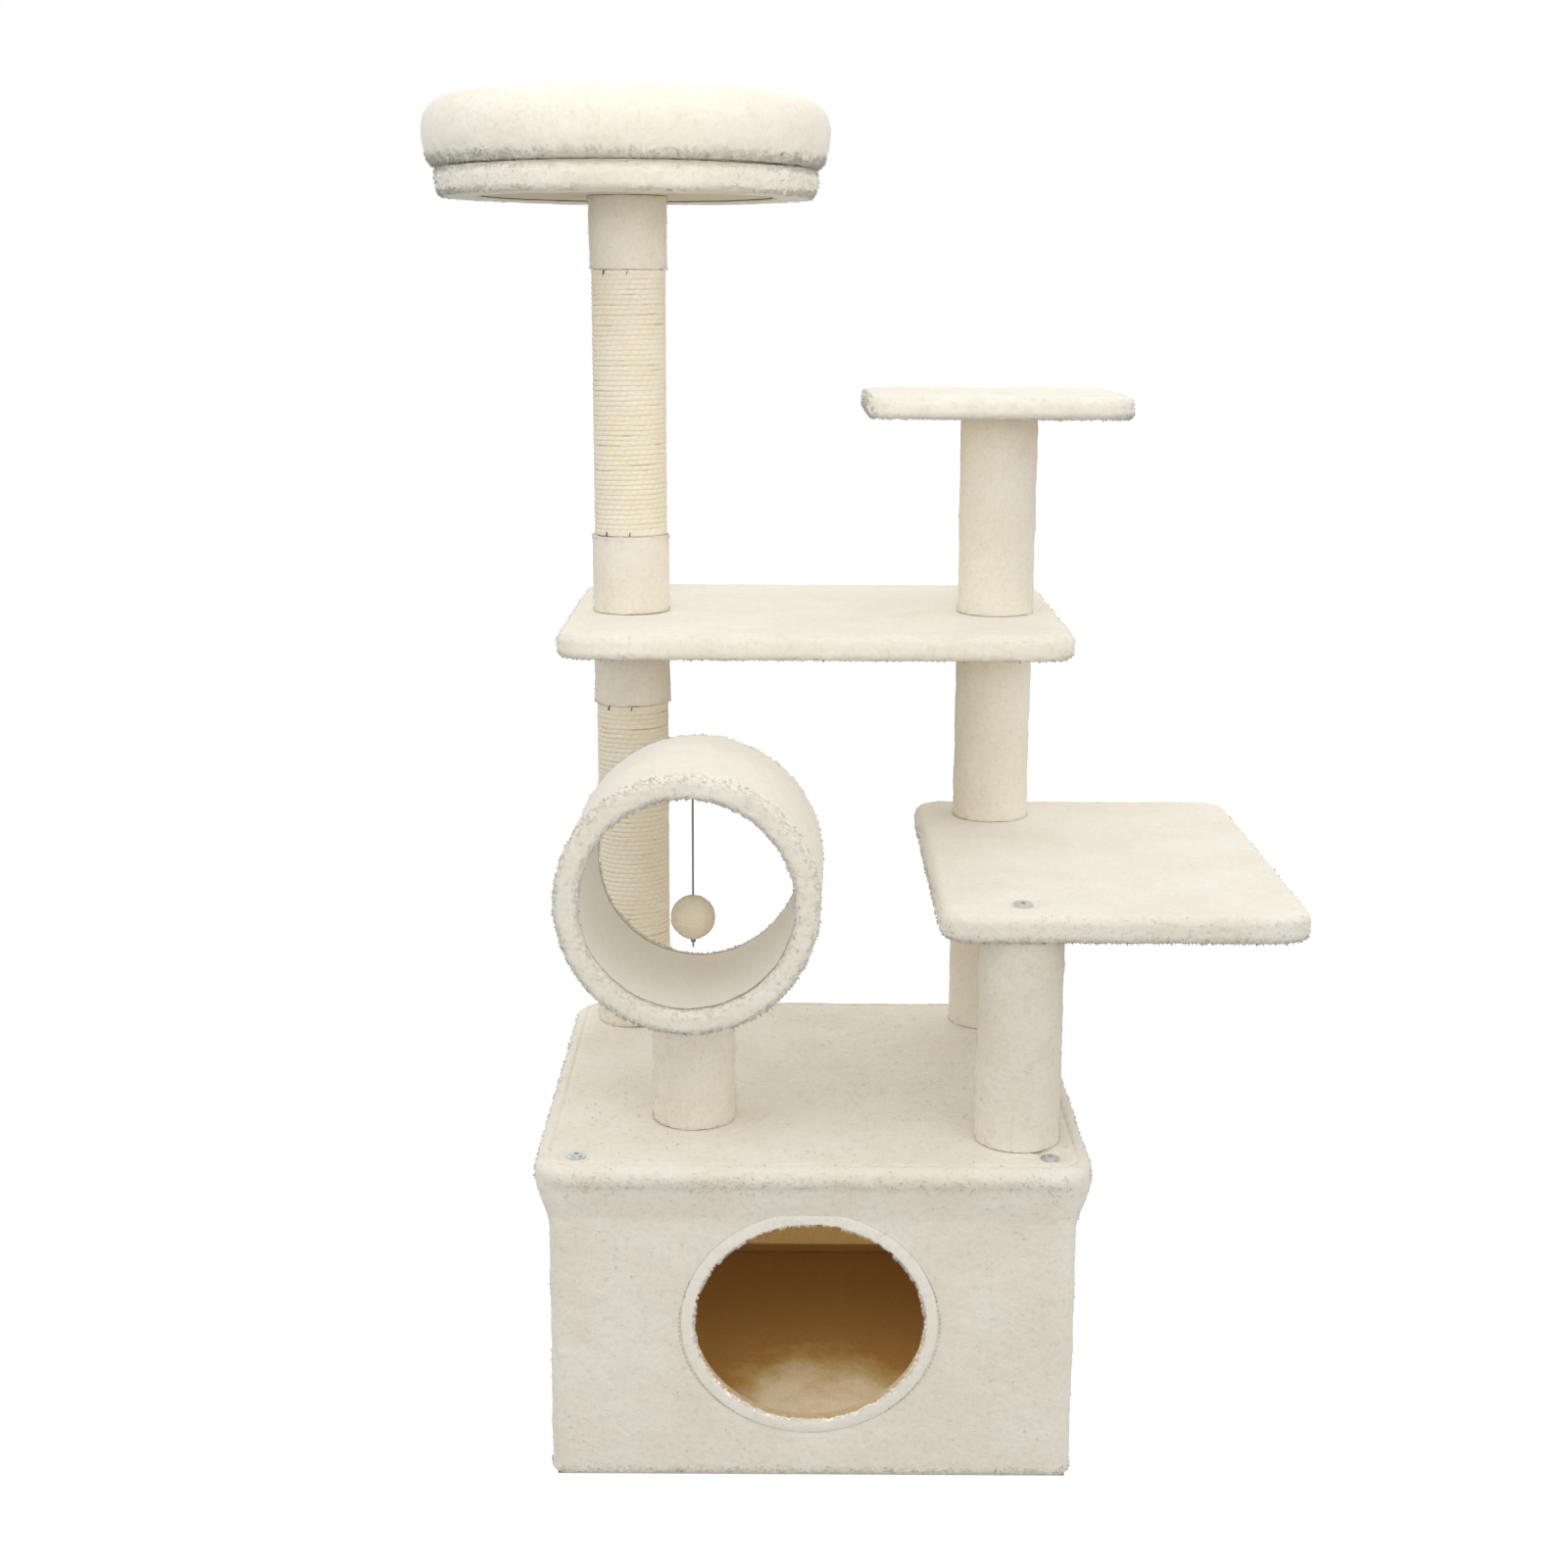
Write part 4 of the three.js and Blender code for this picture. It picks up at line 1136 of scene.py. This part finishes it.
# ---- build: staples at the rope's ends ----
def build_staples():
    verts, faces = [], []
    half, wire, leg = 2.2 * MM, 0.5 * MM, 2.4 * MM
    quads = ((0, 1, 3, 2), (4, 6, 7, 5), (0, 4, 5, 1), (2, 3, 7, 6), (0, 2, 6, 4), (1, 5, 7, 3))
    lower, upper = "lower_left_sisal", "upper_left_sisal"
    for node, at_top in ((lower, True), (upper, True), (upper, False), (lower, False)):
        low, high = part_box(node)
        middle = Vector((*middle_of(low, high), 0))
        reach = (high.x - low.x) / 2 + 0.25 * MM
        z = high.z - 2.6 * MM if at_top else low.z + 2.6 * MM
        for degrees in (-127, -88, 20, 75, 140):
            t = math.radians(degrees)
            out = Vector((math.cos(t), math.sin(t), 0))
            way = Vector((-out.y * 0.25, out.x * 0.25, 1)).normalized()
            up = out.cross(way)
            centre = middle + out * reach + Vector((0, 0, z))
            for along, into in ((0, 0), (-1, 1), (1, 1)):
                size_a = half if into == 0 else wire
                mid = centre + way * along * (half - wire) - out * (leg / 2 * into)
                size_o = wire if into == 0 else leg / 2 + wire
                start = len(verts)
                for i, j, k in itertools.product((-1, 1), repeat=3):
                    verts.append(mid + way * size_a * i + out * size_o * j + up * wire * k)
                faces.extend(tuple(start + q for q in quad) for quad in quads)
    piece = new_piece("sisal_staples", verts, faces, DARK_STAPLE, "steel")
    outward(piece)
    piece.data.shade_flat()


build_staples()


# ---- build: toy ----
def build_toy():
    cord_low, cord_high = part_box("toy_cord")
    ball_low, ball_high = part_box("toy_ball")
    middle = (cord_low + cord_high) / 2
    diameter = 2 * MM
    data = bpy.data.curves.new("toy_elastic", "CURVE")
    data.dimensions = "3D"
    data.bevel_depth = diameter / 2
    data.bevel_resolution = 3
    data.use_fill_caps = True
    spline = data.splines.new("POLY")
    steps = 20
    spline.points.add(steps)
    length = cord_high.z - cord_low.z
    for i in range(steps + 1):
        spline.points[i].co = (middle.x, middle.y, cord_high.z - length * i / steps, 1)
    cord = add_object("toy_elastic", data)
    data.materials.append(ELASTIC)
    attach(cord, "toy")
    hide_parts("toy_cord")

    centre = (ball_low + ball_high) / 2
    radius = (ball_high.z - ball_low.z) / 2
    rows, around = 46, 80
    turns = [math.pi * i / rows for i in range(1, rows)]
    rings = [ring_at(centre, radius * math.sin(b), centre.z + radius * math.cos(b), around) for b in turns]
    ball = lofted("toy_ball_plush", rings, YARN, "toy_yarn", "toy")
    pile(ball, fuzz=0.7, swell=0.5, seed=SEED + 20)
    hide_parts("toy_ball")

    # radius and drop below the ball, in mm: a round knot and the elastic's loose end
    tail = ((0.9, 0.2), (2.2, 1.2), (2.6, 2.6), (1.9, 4.0), (0.9, 4.8), (1.0, 7.0), (0.6, 9.0))
    rings = [ring_at(centre, r * MM, ball_low.z - drop * MM + 0.6 * MM, 14) for r, drop in tail]
    knot = lofted("toy_tail_knot", rings, ELASTIC, "elastic", "toy")


build_toy()
